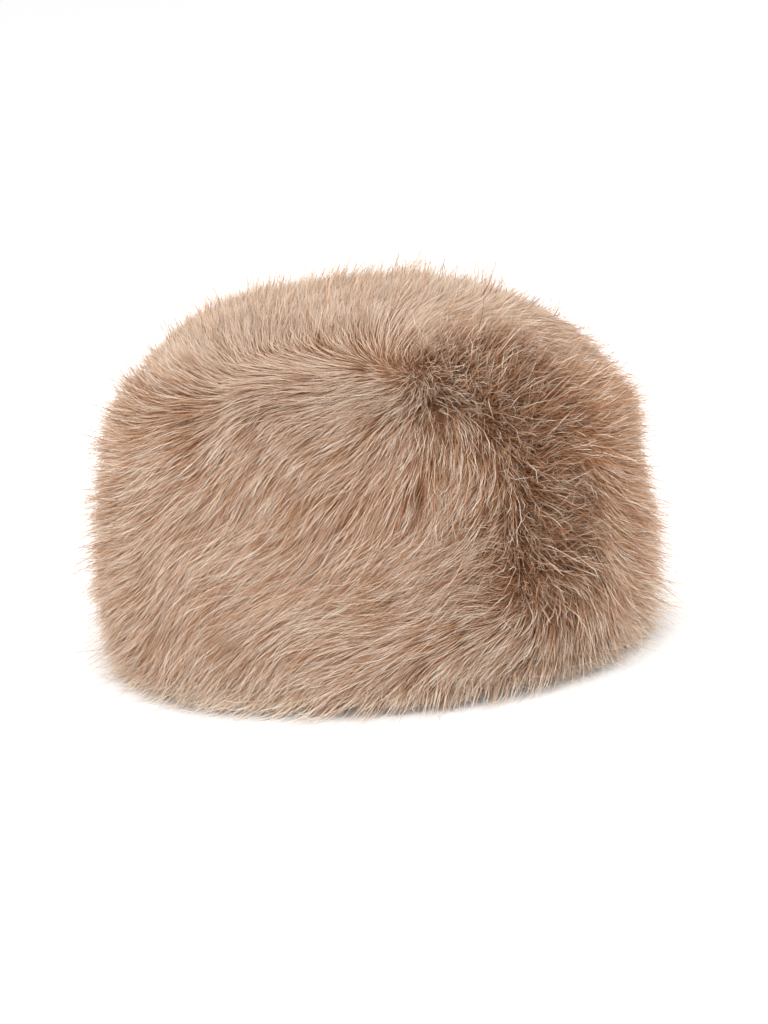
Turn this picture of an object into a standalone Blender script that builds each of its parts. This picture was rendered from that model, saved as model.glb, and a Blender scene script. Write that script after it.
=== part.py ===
"""Fur pillbox hat: an oval side band and an oval crown tip, both of deep-pile fur cloth, open below.

Run with: blender --background --python part.py
Units are metres. +Z is up, -Y is the front, and the origin is the middle of the rim on the surface it rests on.
"turn" is an angle round the hat, 0 at the front and growing towards +X. "run" is a share of the way along the
fur's outline in section, 0 at the lower lip and 1 in the middle of the crown.
"""

import math
import random

import bmesh
import bpy
from mathutils import Vector

# Driving sizes
HEAD_HALF_X = 0.086
HEAD_HALF_Y = 0.096
FUR_HALF_X = 0.1190
FUR_HALF_Y = 0.1270
HAT_HEIGHT = 0.149

# The wall inside the fur: how far it narrows towards the crown, where the crown's flat ceiling is, and the hem
WALL_TOP_SHARE = 0.93
CEILING_HEIGHT = 0.110
HEM_WIDTH = 0.009

# The fur's outline in section, as shares of the fur's half widths and heights
LIP_SHARE = 0.975
LIP_HEIGHT = 0.001
BELLY_HEIGHT = 0.036
SHOULDER_SHARE = 0.960
SHOULDER_HEIGHT = 0.078
TOP_FLAT_SHARE = 0.24
OUTLINE_STEPS = 14

# The seam between the side band and the crown tip
SEAM_SHARE = 0.80
SEAM_GAP = 0.0003

# The core is the packed pile, and the locks stand on it
LOCK_RELIEF = 0.0035
CORE_SIDES = 48
BAND_CORE_RINGS = 9
CROWN_CORE_RINGS = 5

# The parting: the pile falls away to both sides of a line that runs down the band from the crown seam
PARTING_TOP_DEG = 37.0
PARTING_FOOT_DEG = 39.0
PARTING_WIDTH_DEG = 10.0
PARTING_DEPTH = 0.007
SEAM_DENT_WIDTH = 0.035
SEAM_DENT_DEPTH = 0.003

# Locks: length and half width, with the shape along a lock
LOCK_LENGTH = 0.040
LOCK_HALF_WIDTH = 0.0090
LOCK_SHAPE = [
    # along: share of the length, wide: share of the half width, base and ridge: heights above the core
    {"along": 0.00, "wide": 0.45, "base": -0.0060, "ridge": -0.0020},
    {"along": 0.30, "wide": 1.00, "base": -0.0016, "ridge": 0.0026},
    {"along": 0.70, "wide": 0.95, "base": -0.0014, "ridge": 0.0038},
    {"along": 1.00, "wide": 0.00, "base": 0.0016, "ridge": 0.0016},
]
PATH_STEPS = 12
SEAM_CLEARANCE = 0.0015
SHORTEST_LOCK = 0.016
LIP_RUN = 0.003
FLOOR_CLEARANCE = 0.0006

# Rows of locks: where their roots are and how many stand in a row
BAND_ROWS = [
    {"run": 0.098, "locks": 30},
    {"run": 0.170, "locks": 28},
    {"run": 0.245, "locks": 28},
    {"run": 0.320, "locks": 27},
    {"run": 0.395, "locks": 26},
    {"run": 0.470, "locks": 25},
    {"run": 0.535, "locks": 22},
]
CROWN_ROWS = [
    {"run": 0.580, "locks": 22},
    {"run": 0.650, "locks": 19},
    {"run": 0.725, "locks": 15},
    {"run": 0.805, "locks": 11},
    {"run": 0.885, "locks": 7},
    {"run": 0.960, "locks": 3},
]
# How far locks stray from their rows: round the hat as a share of the spacing, along the outline, and in length
LOCK_SEED = 3
STRAY_ROUND = 0.22
STRAY_ALONG = 0.010
SHORTEST_START = 0.82

# How the pile is combed, seen from outside: place round the hat, place up the panel, and heading. The heading is
# 0 where the hair points straight down, or away from the middle of the crown, and grows as it points to +turn.
# On the band, "up" is the height as a share of the hat's height.
BAND_COMB = [
    {"turn_deg": -180, "up": 0.70, "heading_deg": 0},
    {"turn_deg": -180, "up": 0.20, "heading_deg": 0},
    {"turn_deg": -145, "up": 0.45, "heading_deg": -32},
    {"turn_deg": -108, "up": 0.70, "heading_deg": -72},
    {"turn_deg": -108, "up": 0.25, "heading_deg": -50},
    {"turn_deg": -72, "up": 0.72, "heading_deg": -82},
    {"turn_deg": -72, "up": 0.48, "heading_deg": -76},
    {"turn_deg": -61, "up": 0.34, "heading_deg": -66},
    {"turn_deg": -61, "up": 0.12, "heading_deg": -62},
    {"turn_deg": -46, "up": 0.76, "heading_deg": -74},
    {"turn_deg": -44, "up": 0.55, "heading_deg": -60},
    {"turn_deg": -46, "up": 0.32, "heading_deg": -46},
    {"turn_deg": -44, "up": 0.12, "heading_deg": -37},
    {"turn_deg": -28, "up": 0.76, "heading_deg": -55},
    {"turn_deg": -26, "up": 0.60, "heading_deg": -42},
    {"turn_deg": -26, "up": 0.43, "heading_deg": -52},
    {"turn_deg": -24, "up": 0.26, "heading_deg": -64},
    {"turn_deg": -26, "up": 0.09, "heading_deg": -48},
    {"turn_deg": -8, "up": 0.78, "heading_deg": -64},
    {"turn_deg": -10, "up": 0.60, "heading_deg": -42},
    {"turn_deg": -8, "up": 0.44, "heading_deg": -44},
    {"turn_deg": -8, "up": 0.28, "heading_deg": -70},
    {"turn_deg": -10, "up": 0.11, "heading_deg": -66},
    {"turn_deg": 7, "up": 0.70, "heading_deg": -34},
    {"turn_deg": 7, "up": 0.54, "heading_deg": -26},
    {"turn_deg": 9, "up": 0.36, "heading_deg": -66},
    {"turn_deg": 9, "up": 0.20, "heading_deg": -68},
    {"turn_deg": 10, "up": 0.07, "heading_deg": -50},
    {"turn_deg": 20, "up": 0.68, "heading_deg": -10},
    {"turn_deg": 22, "up": 0.50, "heading_deg": -28},
    {"turn_deg": 22, "up": 0.30, "heading_deg": -68},
    {"turn_deg": 28, "up": 0.12, "heading_deg": -46},
    {"turn_deg": 37, "up": 0.55, "heading_deg": 24},
    {"turn_deg": 40, "up": 0.33, "heading_deg": 22},
    {"turn_deg": 38, "up": 0.10, "heading_deg": -5},
    {"turn_deg": 49, "up": 0.74, "heading_deg": 80},
    {"turn_deg": 50, "up": 0.40, "heading_deg": 20},
    {"turn_deg": 50, "up": 0.16, "heading_deg": 28},
    {"turn_deg": 66, "up": 0.68, "heading_deg": 85},
    {"turn_deg": 64, "up": 0.38, "heading_deg": 60},
    {"turn_deg": 67, "up": 0.10, "heading_deg": 57},
    {"turn_deg": 108, "up": 0.70, "heading_deg": 72},
    {"turn_deg": 108, "up": 0.25, "heading_deg": 50},
    {"turn_deg": 145, "up": 0.45, "heading_deg": 32},
]
# On the crown, "up" is the distance from the middle as a share of the fur's half widths
CROWN_COMB = [
    {"turn_deg": -74, "up": 0.78, "heading_deg": -93},
    {"turn_deg": -48, "up": 0.74, "heading_deg": -107},
    {"turn_deg": -20, "up": 0.73, "heading_deg": -111},
    {"turn_deg": 4, "up": 0.73, "heading_deg": -104},
    {"turn_deg": 24, "up": 0.74, "heading_deg": 150},
    {"turn_deg": 50, "up": 0.76, "heading_deg": 88},
    {"turn_deg": 74, "up": 0.78, "heading_deg": 86},
    {"turn_deg": -66, "up": 0.56, "heading_deg": -115},
    {"turn_deg": -44, "up": 0.54, "heading_deg": -137},
    {"turn_deg": -24, "up": 0.52, "heading_deg": -156},
    {"turn_deg": 0, "up": 0.53, "heading_deg": -178},
    {"turn_deg": 20, "up": 0.57, "heading_deg": 146},
    {"turn_deg": 34, "up": 0.60, "heading_deg": 108},
    {"turn_deg": -90, "up": 0.35, "heading_deg": -95},
    {"turn_deg": 90, "up": 0.35, "heading_deg": 95},
    {"turn_deg": -130, "up": 0.65, "heading_deg": -48},
    {"turn_deg": 130, "up": 0.65, "heading_deg": 48},
    {"turn_deg": 180, "up": 0.30, "heading_deg": 0},
    {"turn_deg": 180, "up": 0.75, "heading_deg": 0},
]
COMB_REACH = 0.012

FUR_COLOUR = (0.50, 0.335, 0.235, 1.0)
FUR_ROUGHNESS = 0.72


def clear_scene():
    for thing in list(bpy.data.objects):
        bpy.data.objects.remove(thing)


def quarter_arc(steps):
    """Angles from 0 to a right angle, both included."""
    return [math.pi / 2 * i / steps for i in range(steps + 1)]


def fur_outline():
    """The fur's section as (share of the half width, height), from the lower lip to the middle of the crown."""
    lip = [
        (LIP_SHARE + (1 - LIP_SHARE) * math.sin(a), LIP_HEIGHT + (BELLY_HEIGHT - LIP_HEIGHT) * (1 - math.cos(a)))
        for a in quarter_arc(OUTLINE_STEPS)
    ]
    fall = SHOULDER_SHARE - TOP_FLAT_SHARE
    rise = HAT_HEIGHT - SHOULDER_HEIGHT
    shoulder = [
        (TOP_FLAT_SHARE + fall * math.cos(a), SHOULDER_HEIGHT + rise * math.sin(a))
        for a in quarter_arc(OUTLINE_STEPS)
    ]
    return lip + shoulder + [(0.0, HAT_HEIGHT)]


def running_lengths(points):
    """The length along the outline at each of its points, as a share of the whole."""
    lengths = [0.0]
    for (share, height), (next_share, next_height) in zip(points, points[1:]):
        step = math.hypot((next_share - share) * FUR_HALF_X, next_height - height)
        lengths.append(lengths[-1] + step)
    return [length / lengths[-1] for length in lengths], lengths[-1]


OUTLINE = fur_outline()
OUTLINE_RUNS, OUTLINE_LENGTH = running_lengths(OUTLINE)


def section_at(run):
    """Share of the half width and height at a run along the outline."""
    run = min(max(run, 0.0), 1.0)
    for i in range(1, len(OUTLINE_RUNS)):
        if run <= OUTLINE_RUNS[i]:
            part = (run - OUTLINE_RUNS[i - 1]) / (OUTLINE_RUNS[i] - OUTLINE_RUNS[i - 1])
            return tuple(a + (b - a) * part for a, b in zip(OUTLINE[i - 1], OUTLINE[i]))
    return OUTLINE[-1]


def run_at_share(share):
    """The run on the shoulder where the outline has narrowed to a share of the half width."""
    for i in range(len(OUTLINE) - 1, 0, -1):
        if OUTLINE[i - 1][0] >= share > OUTLINE[i][0]:
            part = (OUTLINE[i - 1][0] - share) / (OUTLINE[i - 1][0] - OUTLINE[i][0])
            return OUTLINE_RUNS[i - 1] + (OUTLINE_RUNS[i] - OUTLINE_RUNS[i - 1]) * part
    raise ValueError(f"the outline never narrows to {share}")


SEAM_RUN = run_at_share(SEAM_SHARE)


def oval_point(turn, half_x, half_y, height):
    return Vector((half_x * math.sin(turn), -half_y * math.cos(turn), height))


def bell(distance, width):
    """1 at no distance, falling smoothly away over the width."""
    return math.exp(-((distance / width) ** 2))


def dent_depth(turn, run):
    """How far the pile lies below the outline, at the parting and along the crown seam."""
    down = min(max((SEAM_RUN - run) / SEAM_RUN, 0.0), 1.0)
    parting = PARTING_TOP_DEG + (PARTING_FOOT_DEG - PARTING_TOP_DEG) * down
    away = (math.degrees(turn) - parting + 180) % 360 - 180
    on_band = 1.0 if run < SEAM_RUN else bell(run - SEAM_RUN, SEAM_DENT_WIDTH)
    above_hem = min(down and (1 - down) * 4, 1.0)
    front = 0.5 + 0.5 * math.cos(turn)
    dent = PARTING_DEPTH * bell(away, PARTING_WIDTH_DEG) * on_band * above_hem
    return dent + SEAM_DENT_DEPTH * bell(run - SEAM_RUN, SEAM_DENT_WIDTH) * front


def frame_at(turn, run):
    """The point on the outline, and there the directions round the hat, up the outline and out of the pile."""
    nudge = 0.004
    low, high = max(run - nudge, 0.0), min(run + nudge, 1.0)
    place, below, above = (
        oval_point(turn, FUR_HALF_X * share, FUR_HALF_Y * share, height)
        for share, height in (section_at(run), section_at(low), section_at(high))
    )
    around = Vector((FUR_HALF_X * math.cos(turn), FUR_HALF_Y * math.sin(turn), 0)).normalized()
    upward = (above - below).normalized()
    outward = around.cross(upward).normalized()
    return place, around, upward, outward


def fur_point(turn, run, inset):
    """A point of the fur's form, this far below the outline and its dents."""
    place, _, _, outward = frame_at(turn, run)
    if run >= 1.0:
        return Vector((0, 0, HAT_HEIGHT - inset))
    return place - outward * (inset + dent_depth(turn, run))


def guide_at(turn_deg, run, heading_deg):
    """A point on the fur and the direction that the hair points in there."""
    place, around, upward, _ = frame_at(math.radians(turn_deg), run)
    heading = math.radians(heading_deg)
    return place, around * math.sin(heading) - upward * math.cos(heading)


def band_guides():
    guides = []
    for row in BAND_COMB:
        run = next(r / 400 for r in range(400) if section_at(r / 400)[1] >= row["up"] * HAT_HEIGHT)
        guides.append(guide_at(row["turn_deg"], run, row["heading_deg"]))
    return guides


def crown_guides():
    return [guide_at(row["turn_deg"], run_at_share(row["up"]), row["heading_deg"]) for row in CROWN_COMB]


GUIDES = {"band": band_guides(), "crown": crown_guides()}


def comb_direction(place, outward, panel):
    """The hair's direction along the fur at a place, blended from the panel's guides near it."""
    total = Vector((0, 0, 0))
    for guide, direction in GUIDES[panel]:
        total += direction / ((place - guide).length_squared + COMB_REACH**2) ** 3
    return (total - outward * total.dot(outward)).normalized()


def lock_path(turn, run, length, panel):
    """Steps along the fur from a lock's root, each a turn and a run, following the comb."""
    path = [(turn, run)]
    for _ in range(PATH_STEPS):
        place, around, upward, outward = frame_at(turn, run)
        step = comb_direction(place, outward, panel) * (length / PATH_STEPS)
        half_width = max(math.hypot(place.x, place.y), 0.001)
        turn += step.dot(around) / half_width
        run += step.dot(upward) / OUTLINE_LENGTH
        path.append((turn, run))
    return path


def lock_sections(path, length, panel):
    """The lock's sections on the outline: for each, the row of its shape, its place round the hat and along the
    outline, and its directions out of the pile and to its side."""
    sections = []
    for row in LOCK_SHAPE:
        at = path[round(row["along"] * PATH_STEPS)]
        place, _, upward, outward = frame_at(*at)
        beside = outward.cross(comb_direction(place, outward, panel)).normalized()
        beside *= LOCK_HALF_WIDTH * row["wide"] * (0.5 + 0.5 * length / LOCK_LENGTH)
        sections.append((row, at, place, upward, outward, beside))
    return sections


def stays_clear(sections, panel):
    """Whether every corner of a lock keeps its clearance to the seam, the lip and the middle of the crown."""
    low, high = (LIP_RUN, SEAM_RUN) if panel == "band" else (SEAM_RUN, 1.0)
    margin = SEAM_CLEARANCE / OUTLINE_LENGTH
    for _, (_, run), _, upward, _, beside in sections:
        reach = abs(beside.dot(upward)) / OUTLINE_LENGTH + margin
        if not low + reach < run < high - reach:
            return False
    return True


def fitting_lock(turn, run, length, panel):
    """The sections of the longest lock that stays clear, or None if it would be too short to show."""
    while length >= SHORTEST_LOCK:
        sections = lock_sections(lock_path(turn, run, length, panel), length, panel)
        if stays_clear(sections, panel):
            return sections
        length *= 0.9
    return None


def add_lock(mesh, turn, run, length, panel):
    """A tapered lock of fur with a ridge, its root and its flat underside sunk into the core."""
    rings = []
    for row, at, place, _, outward, beside in fitting_lock(turn, run, length, panel) or []:
        core = place - outward * (LOCK_RELIEF + dent_depth(*at))
        base, ridge = core + outward * row["base"], core + outward * row["ridge"]
        corners = [ridge] if row["wide"] == 0 else [base + beside, ridge, base - beside]
        for corner in corners:
            corner.z = max(corner.z, FLOOR_CLEARANCE)
        rings.append([mesh.verts.new(corner) for corner in corners])
    for low, high in zip(rings, rings[1:]):
        for i in range(3):
            j = (i + 1) % 3
            ring = [low[i], low[j], high[j % len(high)], high[i % len(high)]]
            mesh.faces.new(list(dict.fromkeys(ring)))
    if rings:
        mesh.faces.new(rings[0][::-1])


def ring_of(mesh, point_at):
    """A ring of vertices round the hat."""
    return [mesh.verts.new(point_at(2 * math.pi * i / CORE_SIDES)) for i in range(CORE_SIDES)]


def skin_rings(mesh, rings):
    """Faces between neighbouring rings."""
    for low, high in zip(rings, rings[1:]):
        for i in range(CORE_SIDES):
            j = (i + 1) % CORE_SIDES
            mesh.faces.new([low[i], low[j], high[j], high[i]])


def cap_ring(mesh, ring, point):
    """A fan of faces from a ring to a point in its middle."""
    middle = mesh.verts.new(point)
    for i in range(CORE_SIDES):
        mesh.faces.new([ring[i], ring[(i + 1) % CORE_SIDES], middle])


def wall_ring(mesh, share, height):
    """A ring on the inside of the hat."""
    half_x, half_y = HEAD_HALF_X * share, HEAD_HALF_Y * share
    return ring_of(mesh, lambda turn: oval_point(turn, half_x, half_y, height))


def seam_point(turn, run, side):
    """A point of the outline at the seam, moved half a gap along it to this side."""
    place, _, upward, _ = frame_at(turn, run)
    return fur_point(turn, run, LOCK_RELIEF) + upward * (side * SEAM_GAP / 2)


def band_core(mesh):
    """The side band without its locks: fur outside, the seam on top, the wall inside and the hem below."""
    rings = []
    for i in range(BAND_CORE_RINGS):
        run = SEAM_RUN * i / BAND_CORE_RINGS
        rings.append(ring_of(mesh, lambda turn, run=run: fur_point(turn, run, LOCK_RELIEF)))
    rings.append(ring_of(mesh, lambda turn: seam_point(turn, SEAM_RUN, -1)))
    rings.append(wall_ring(mesh, WALL_TOP_SHARE, CEILING_HEIGHT - 1.5 * SEAM_GAP))
    rings.append(wall_ring(mesh, 1.0, 0.0))
    hem_x, hem_y = HEAD_HALF_X + HEM_WIDTH, HEAD_HALF_Y + HEM_WIDTH
    rings.append(ring_of(mesh, lambda turn: oval_point(turn, hem_x, hem_y, 0.0)))
    rings.append(rings[0])
    skin_rings(mesh, rings)


def crown_core(mesh):
    """The crown tip without its locks: fur on top and the flat ceiling of the head hollow below."""
    rings = [wall_ring(mesh, WALL_TOP_SHARE, CEILING_HEIGHT)]
    rings.append(ring_of(mesh, lambda turn: seam_point(turn, SEAM_RUN, 1)))
    for i in range(1, CROWN_CORE_RINGS):
        run = SEAM_RUN + (1 - SEAM_RUN) * i / CROWN_CORE_RINGS
        rings.append(ring_of(mesh, lambda turn, run=run: fur_point(turn, run, LOCK_RELIEF)))
    skin_rings(mesh, rings)
    cap_ring(mesh, rings[-1], (0, 0, HAT_HEIGHT - LOCK_RELIEF))
    mesh.faces.new(rings[0][::-1])


def new_object(name, mesh, material):
    bmesh.ops.recalc_face_normals(mesh, faces=mesh.faces)
    data = bpy.data.meshes.new(name)
    mesh.to_mesh(data)
    mesh.free()
    data.materials.append(material)
    made = bpy.data.objects.new(name, data)
    bpy.context.collection.objects.link(made)
    return made


def lock_field(name, rows, panel, material):
    """All the locks of a panel, as a cutter that the panel is fused with."""
    mesh = bmesh.new()
    stray = random.Random(LOCK_SEED)
    for number, row in enumerate(rows):
        for i in range(row["locks"]):
            place = i + 0.5 * (number % 2) + stray.uniform(-STRAY_ROUND, STRAY_ROUND)
            run = row["run"] + stray.uniform(-STRAY_ALONG, STRAY_ALONG)
            length = LOCK_LENGTH * stray.uniform(SHORTEST_START, 1.0)
            add_lock(mesh, 2 * math.pi * place / row["locks"], run, length, panel)
    made = new_object(name, mesh, material)
    made.hide_render = True
    made.display_type = "WIRE"
    return made


def fuse_locks(core, locks):
    fuse = core.modifiers.new("fuse_locks", "BOOLEAN")
    fuse.operation = "UNION"
    fuse.solver = "EXACT"
    fuse.use_self = True
    fuse.object = locks


def fur_material():
    material = bpy.data.materials.new("taupe_fur")
    material.use_nodes = True
    shader = material.node_tree.nodes["Principled BSDF"]
    shader.inputs["Base Color"].default_value = FUR_COLOUR
    shader.inputs["Roughness"].default_value = FUR_ROUGHNESS
    shader.inputs["Metallic"].default_value = 0.0
    material.diffuse_color = FUR_COLOUR
    return material


def make_panel(name, build_core, rows, panel, material):
    """One panel of fur cloth: its packed pile on the backing, fused with its locks."""
    mesh = bmesh.new()
    build_core(mesh)
    core = new_object(name, mesh, material)
    fuse_locks(core, lock_field(name + "_locks", rows, panel, material))


def main():
    clear_scene()
    fur = fur_material()
    make_panel("side_band", band_core, BAND_ROWS, "band", fur)
    make_panel("crown_tip", crown_core, CROWN_ROWS, "crown", fur)


main()
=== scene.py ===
"""Dresses the fur pillbox hat: long taupe fur on an oval side band and a domed crown, with cloth backing.

"turn" is an angle round the hat, 0 at the front and growing towards +X. "run" is a share of the way along
the fur's outline in section, 0 at the lower lip and 1 in the middle of the crown.
"""

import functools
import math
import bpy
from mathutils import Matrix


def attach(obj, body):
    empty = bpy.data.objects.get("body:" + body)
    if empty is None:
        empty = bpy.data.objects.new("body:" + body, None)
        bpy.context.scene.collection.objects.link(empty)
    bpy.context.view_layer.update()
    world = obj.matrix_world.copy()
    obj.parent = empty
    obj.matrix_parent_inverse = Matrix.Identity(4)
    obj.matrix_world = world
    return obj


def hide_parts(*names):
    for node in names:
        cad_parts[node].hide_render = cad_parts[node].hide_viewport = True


bl_info = {
    "name": "Fur Pillbox Hat",
    "version": (1, 0, 0),
    "blender": (4, 5, 0),
    "location": "View3D > Sidebar > Fur Hat",
    "description": "Makes the coat, backing and studio of a fur pillbox hat",
    "category": "Object",
}

from collections import namedtuple
from types import SimpleNamespace

import bmesh
import bpy
import numpy as np
from bpy.props import FloatProperty, FloatVectorProperty, IntProperty, PointerProperty
from mathutils import Matrix, Vector

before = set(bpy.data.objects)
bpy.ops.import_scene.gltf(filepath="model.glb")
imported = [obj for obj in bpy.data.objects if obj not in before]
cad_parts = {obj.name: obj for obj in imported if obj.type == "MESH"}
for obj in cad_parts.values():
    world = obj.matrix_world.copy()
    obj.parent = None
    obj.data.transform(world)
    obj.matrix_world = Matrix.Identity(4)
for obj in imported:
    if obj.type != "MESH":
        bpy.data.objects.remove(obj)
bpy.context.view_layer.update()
BODY = "root"

# The fur's outline in section, as shares of the fur's half widths, and heights in metres
FUR_HALF_X = 0.1190
FUR_HALF_Y = 0.1270
HAT_HEIGHT = 0.149
LIP_SHARE = 0.975
LIP_HEIGHT = 0.001
BELLY_HEIGHT = 0.036
SHOULDER_SHARE = 0.960
SHOULDER_HEIGHT = 0.078
TOP_FLAT_SHARE = 0.24
SEAM_SHARE = 0.80
# Points on each half of the outline and in the tables of it, and how far along it the way up is measured
OUTLINE_STEPS = 40
TABLE_STEPS = 601
RUN_NUDGE = 0.004

# The head hollow, its ceiling and its hem, and the gap between the two panels
HEAD_HALF_X = 0.086
HEAD_HALF_Y = 0.096
WALL_TOP_SHARE = 0.93
CEILING_HEIGHT = 0.110
HEM_WIDTH = 0.009
SEAM_GAP = 0.0003

# The dents of the pile: the parting down the band, at its full depth from a quarter of the way up, and
# the crown seam, whose width is a run
PARTING_DEPTH = 0.005
PARTING_DEEPENING = 4
SEAM_DENT_WIDTH = 0.035
SEAM_DENT_DEPTH = 0.003

# The line of the parting: the run, the place round the hat, and the half width of its tangled pile there
Parting = namedtuple("Parting", "run turn_deg width_deg")
PARTING = [
    Parting(0.00, 37.0, 7),
    Parting(0.13, 38.5, 8),
    Parting(0.28, 41.0, 9),
    Parting(0.36, 41.0, 9),
    Parting(0.45, 42.0, 11),
    Parting(0.53, 40.0, 15),
    Parting(0.60, 37.0, 15),
    Parting(0.66, 32.0, 13),
]

# How the pile is combed, seen from outside. The heading is 0 where the hair points straight down, or away
# from the middle of the crown, and grows as it points to +turn. On the band, "up" is the height as a
# share of the hat's height.
Comb = namedtuple("Comb", "turn_deg up heading_deg")
BAND_COMB = [
    Comb(-180, 0.70, 0),
    Comb(-180, 0.20, 0),
    Comb(-145, 0.45, -32),
    Comb(-108, 0.70, -72),
    Comb(-108, 0.25, -50),
    Comb(-72, 0.72, -79),
    Comb(-72, 0.48, -72),
    Comb(-61, 0.34, -61),
    Comb(-61, 0.12, -52),
    Comb(-46, 0.76, -46),
    Comb(-44, 0.55, -44),
    Comb(-46, 0.32, -26),
    Comb(-44, 0.12, -21),
    Comb(-28, 0.76, -14),
    Comb(-26, 0.60, -22),
    Comb(-26, 0.43, -54),
    Comb(-24, 0.26, -59),
    Comb(-26, 0.09, -36),
    Comb(-8, 0.78, -48),
    Comb(-10, 0.60, -43),
    Comb(-8, 0.44, -41),
    Comb(-8, 0.28, -83),
    Comb(-10, 0.11, -67),
    Comb(3, 0.83, -68),
    Comb(8, 0.86, -52),
    Comb(13, 0.87, -20),
    Comb(18, 0.87, 24),
    Comb(24, 0.83, 20),
    Comb(7, 0.70, -27),
    Comb(7, 0.54, -35),
    Comb(9, 0.36, -66),
    Comb(9, 0.20, -83),
    Comb(10, 0.07, -50),
    Comb(20, 0.68, -16),
    Comb(22, 0.50, -62),
    Comb(22, 0.30, -96),
    Comb(28, 0.12, -67),
    Comb(37, 0.55, 24),
    Comb(40, 0.33, 22),
    Comb(38, 0.10, -40),
    Comb(49, 0.74, 41),
    Comb(50, 0.40, -16),
    Comb(50, 0.16, -8),
    Comb(66, 0.68, 85),
    Comb(64, 0.38, 60),
    Comb(67, 0.10, 59),
    Comb(108, 0.70, 72),
    Comb(108, 0.25, 50),
    Comb(145, 0.45, 32),
]
# On the crown, "up" is the distance from the middle as a share of the fur's half widths
CROWN_COMB = [
    Comb(-74, 0.78, -97),
    Comb(-48, 0.74, -103),
    Comb(-20, 0.73, -78),
    Comb(4, 0.71, -84),
    Comb(13, 0.63, 135),
    Comb(24, 0.65, 118),
    Comb(50, 0.76, 32),
    Comb(74, 0.78, 30),
    Comb(-66, 0.56, -118),
    Comb(-44, 0.54, -141),
    Comb(-24, 0.52, -174),
    Comb(0, 0.53, -184),
    Comb(20, 0.57, 129),
    Comb(34, 0.60, 66),
    Comb(-90, 0.35, -110),
    Comb(90, 0.35, 80),
    Comb(-130, 0.65, -48),
    Comb(130, 0.65, 48),
    Comb(180, 0.30, -22),
    Comb(180, 0.75, 0),
]
# How near a guide of the comb outweighs the others, in metres, and the steps that a hair's course is
# found in
COMB_REACH = 0.012
COMB_STEPS = 12

# Hollows where the pile falls apart and its roots show: their place, with "up" as in the band's comb, and
# their half width and half height. Then how far the hair sinks in them, how deep into the pile they
# reach, and how strongly and over how many half widths and half heights they push the hair aside.
Hollow = namedtuple("Hollow", "turn_deg up half_width half_height")
HOLLOWS = [
    Hollow(17, 0.76, 0.0014, 0.0085),
    Hollow(10, 0.57, 0.0014, 0.0085),
]
HOLLOW_DEPTH = 0.004
HOLLOW_REACH = 0.020
HOLLOW_PUSH = 1.1
PUSH_WIDTHS = 3
PUSH_HEIGHTS = 1.3

# The pelts that carry the hair, each on a panel between two turns. Tone is how pale the hair is, contrast
# how far single hairs and tufts differ in tone, thickness how thickly the pelt is haired, and tufting how
# far the hair falls into tufts. Guard hairs and fringe have no thickness or tufting of their own.
PELT_FIELDS = "name panel first_deg last_deg tone contrast thickness tufting"
Pelt = namedtuple("Pelt", PELT_FIELDS, defaults=(1.0, 1.0))
COAT_PELTS = [
    Pelt("fur_band_front_left", "band", -60, 6, 0.48, 1.25, 1.45, 1.0),
    Pelt("fur_band_front_right", "band", 6, 72, 0.48, 1.25, 1.45, 1.0),
    Pelt("fur_band_left", "band", -150, -60, 0.47, 1.00, 1.05, 0.9),
    Pelt("fur_band_right", "band", 72, 138, 0.47, 1.00, 1.05, 0.9),
    Pelt("fur_band_back", "band", 138, 210, 0.49, 0.85, 0.90, 0.9),
    # The crown's pelts have a paler tone, a painted light for the light that falls on the top
    Pelt("fur_crown_front", "crown", -90, 90, 0.62, 0.14, 1.35, 0.12),
    Pelt("fur_crown_back", "crown", 90, 270, 0.62, 0.14, 1.00, 0.12),
]
GUARD_PELTS = [
    Pelt("guard_hairs_band", "band", -180, 180, 0.62, 0.45),
    Pelt("guard_hairs_crown", "crown", -180, 180, 0.62, 0.45),
]
# The fringe's pale tone is partly painted light, brightening the shaded hem
FRINGE_PELT = Pelt("guard_hairs_hem", "fringe", -180, 180, 0.74, 0.60)
# What is added to the coat's seed for the guard hairs and the fringe
GUARD_SEED = 50
FRINGE_SEED = 90
# Square centimetres in a square metre
CM2_IN_M2 = 1e4

# The mesh of a pelt: degrees between its columns, metres between its rows, the run of the crown's last
# row, and the attributes that hold the courses of its hairs
PELT_COLUMN_DEG = 3.0
PELT_ROW = 0.0055
CROWN_END_RUN = 0.998
HAIR_CURVES = ("curve_a", "curve_b", "curve_c")

# Where the band's hair gives way to the crown's, and half the run over which it does
PILE_SEAM_RUN = 0.580
SEAM_OVERLAP = 0.030

# The whorl from which the pile spreads to all sides: its place, its half width in metres, how upright its
# hair is, and how much thicker it is haired
WHORL_TURN_DEG = 11.0
WHORL_RUN = 0.600
WHORL_WIDTH = 0.016
WHORL_STANDING = 0.35
WHORL_CROWDING = 1.6

# The foot of the coat: the run of its lowest roots, how much thicker it is haired there and up to which
# run, and the run at which combed hair is down on the floor. Hair that is down turns outwards, goes on at
# a share of its pace, and sinks a little at each step.
FOOT_RUN = 0.045
FOOT_CROWDING = 0.5
FOOT_CROWDING_RUN = 0.12
LANDING_RUN = 0.022
FOOT_SPLAY = 0.32
LANDED_PACE = 0.3
LANDED_DROP = 0.0004

# Where the coat draws in: at the hat's left all the way up, and at both sides towards the lower lip
Tuck = namedtuple("Tuck", "turn_deg width_deg depth")
LEFT_TUCK = Tuck(-88, 40, 0.0030)
FOOT_TUCKS = [Tuck(-88, 40, 0.0045), Tuck(75, 35, 0.003)]
FOOT_TUCK_RUN = 0.16

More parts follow.
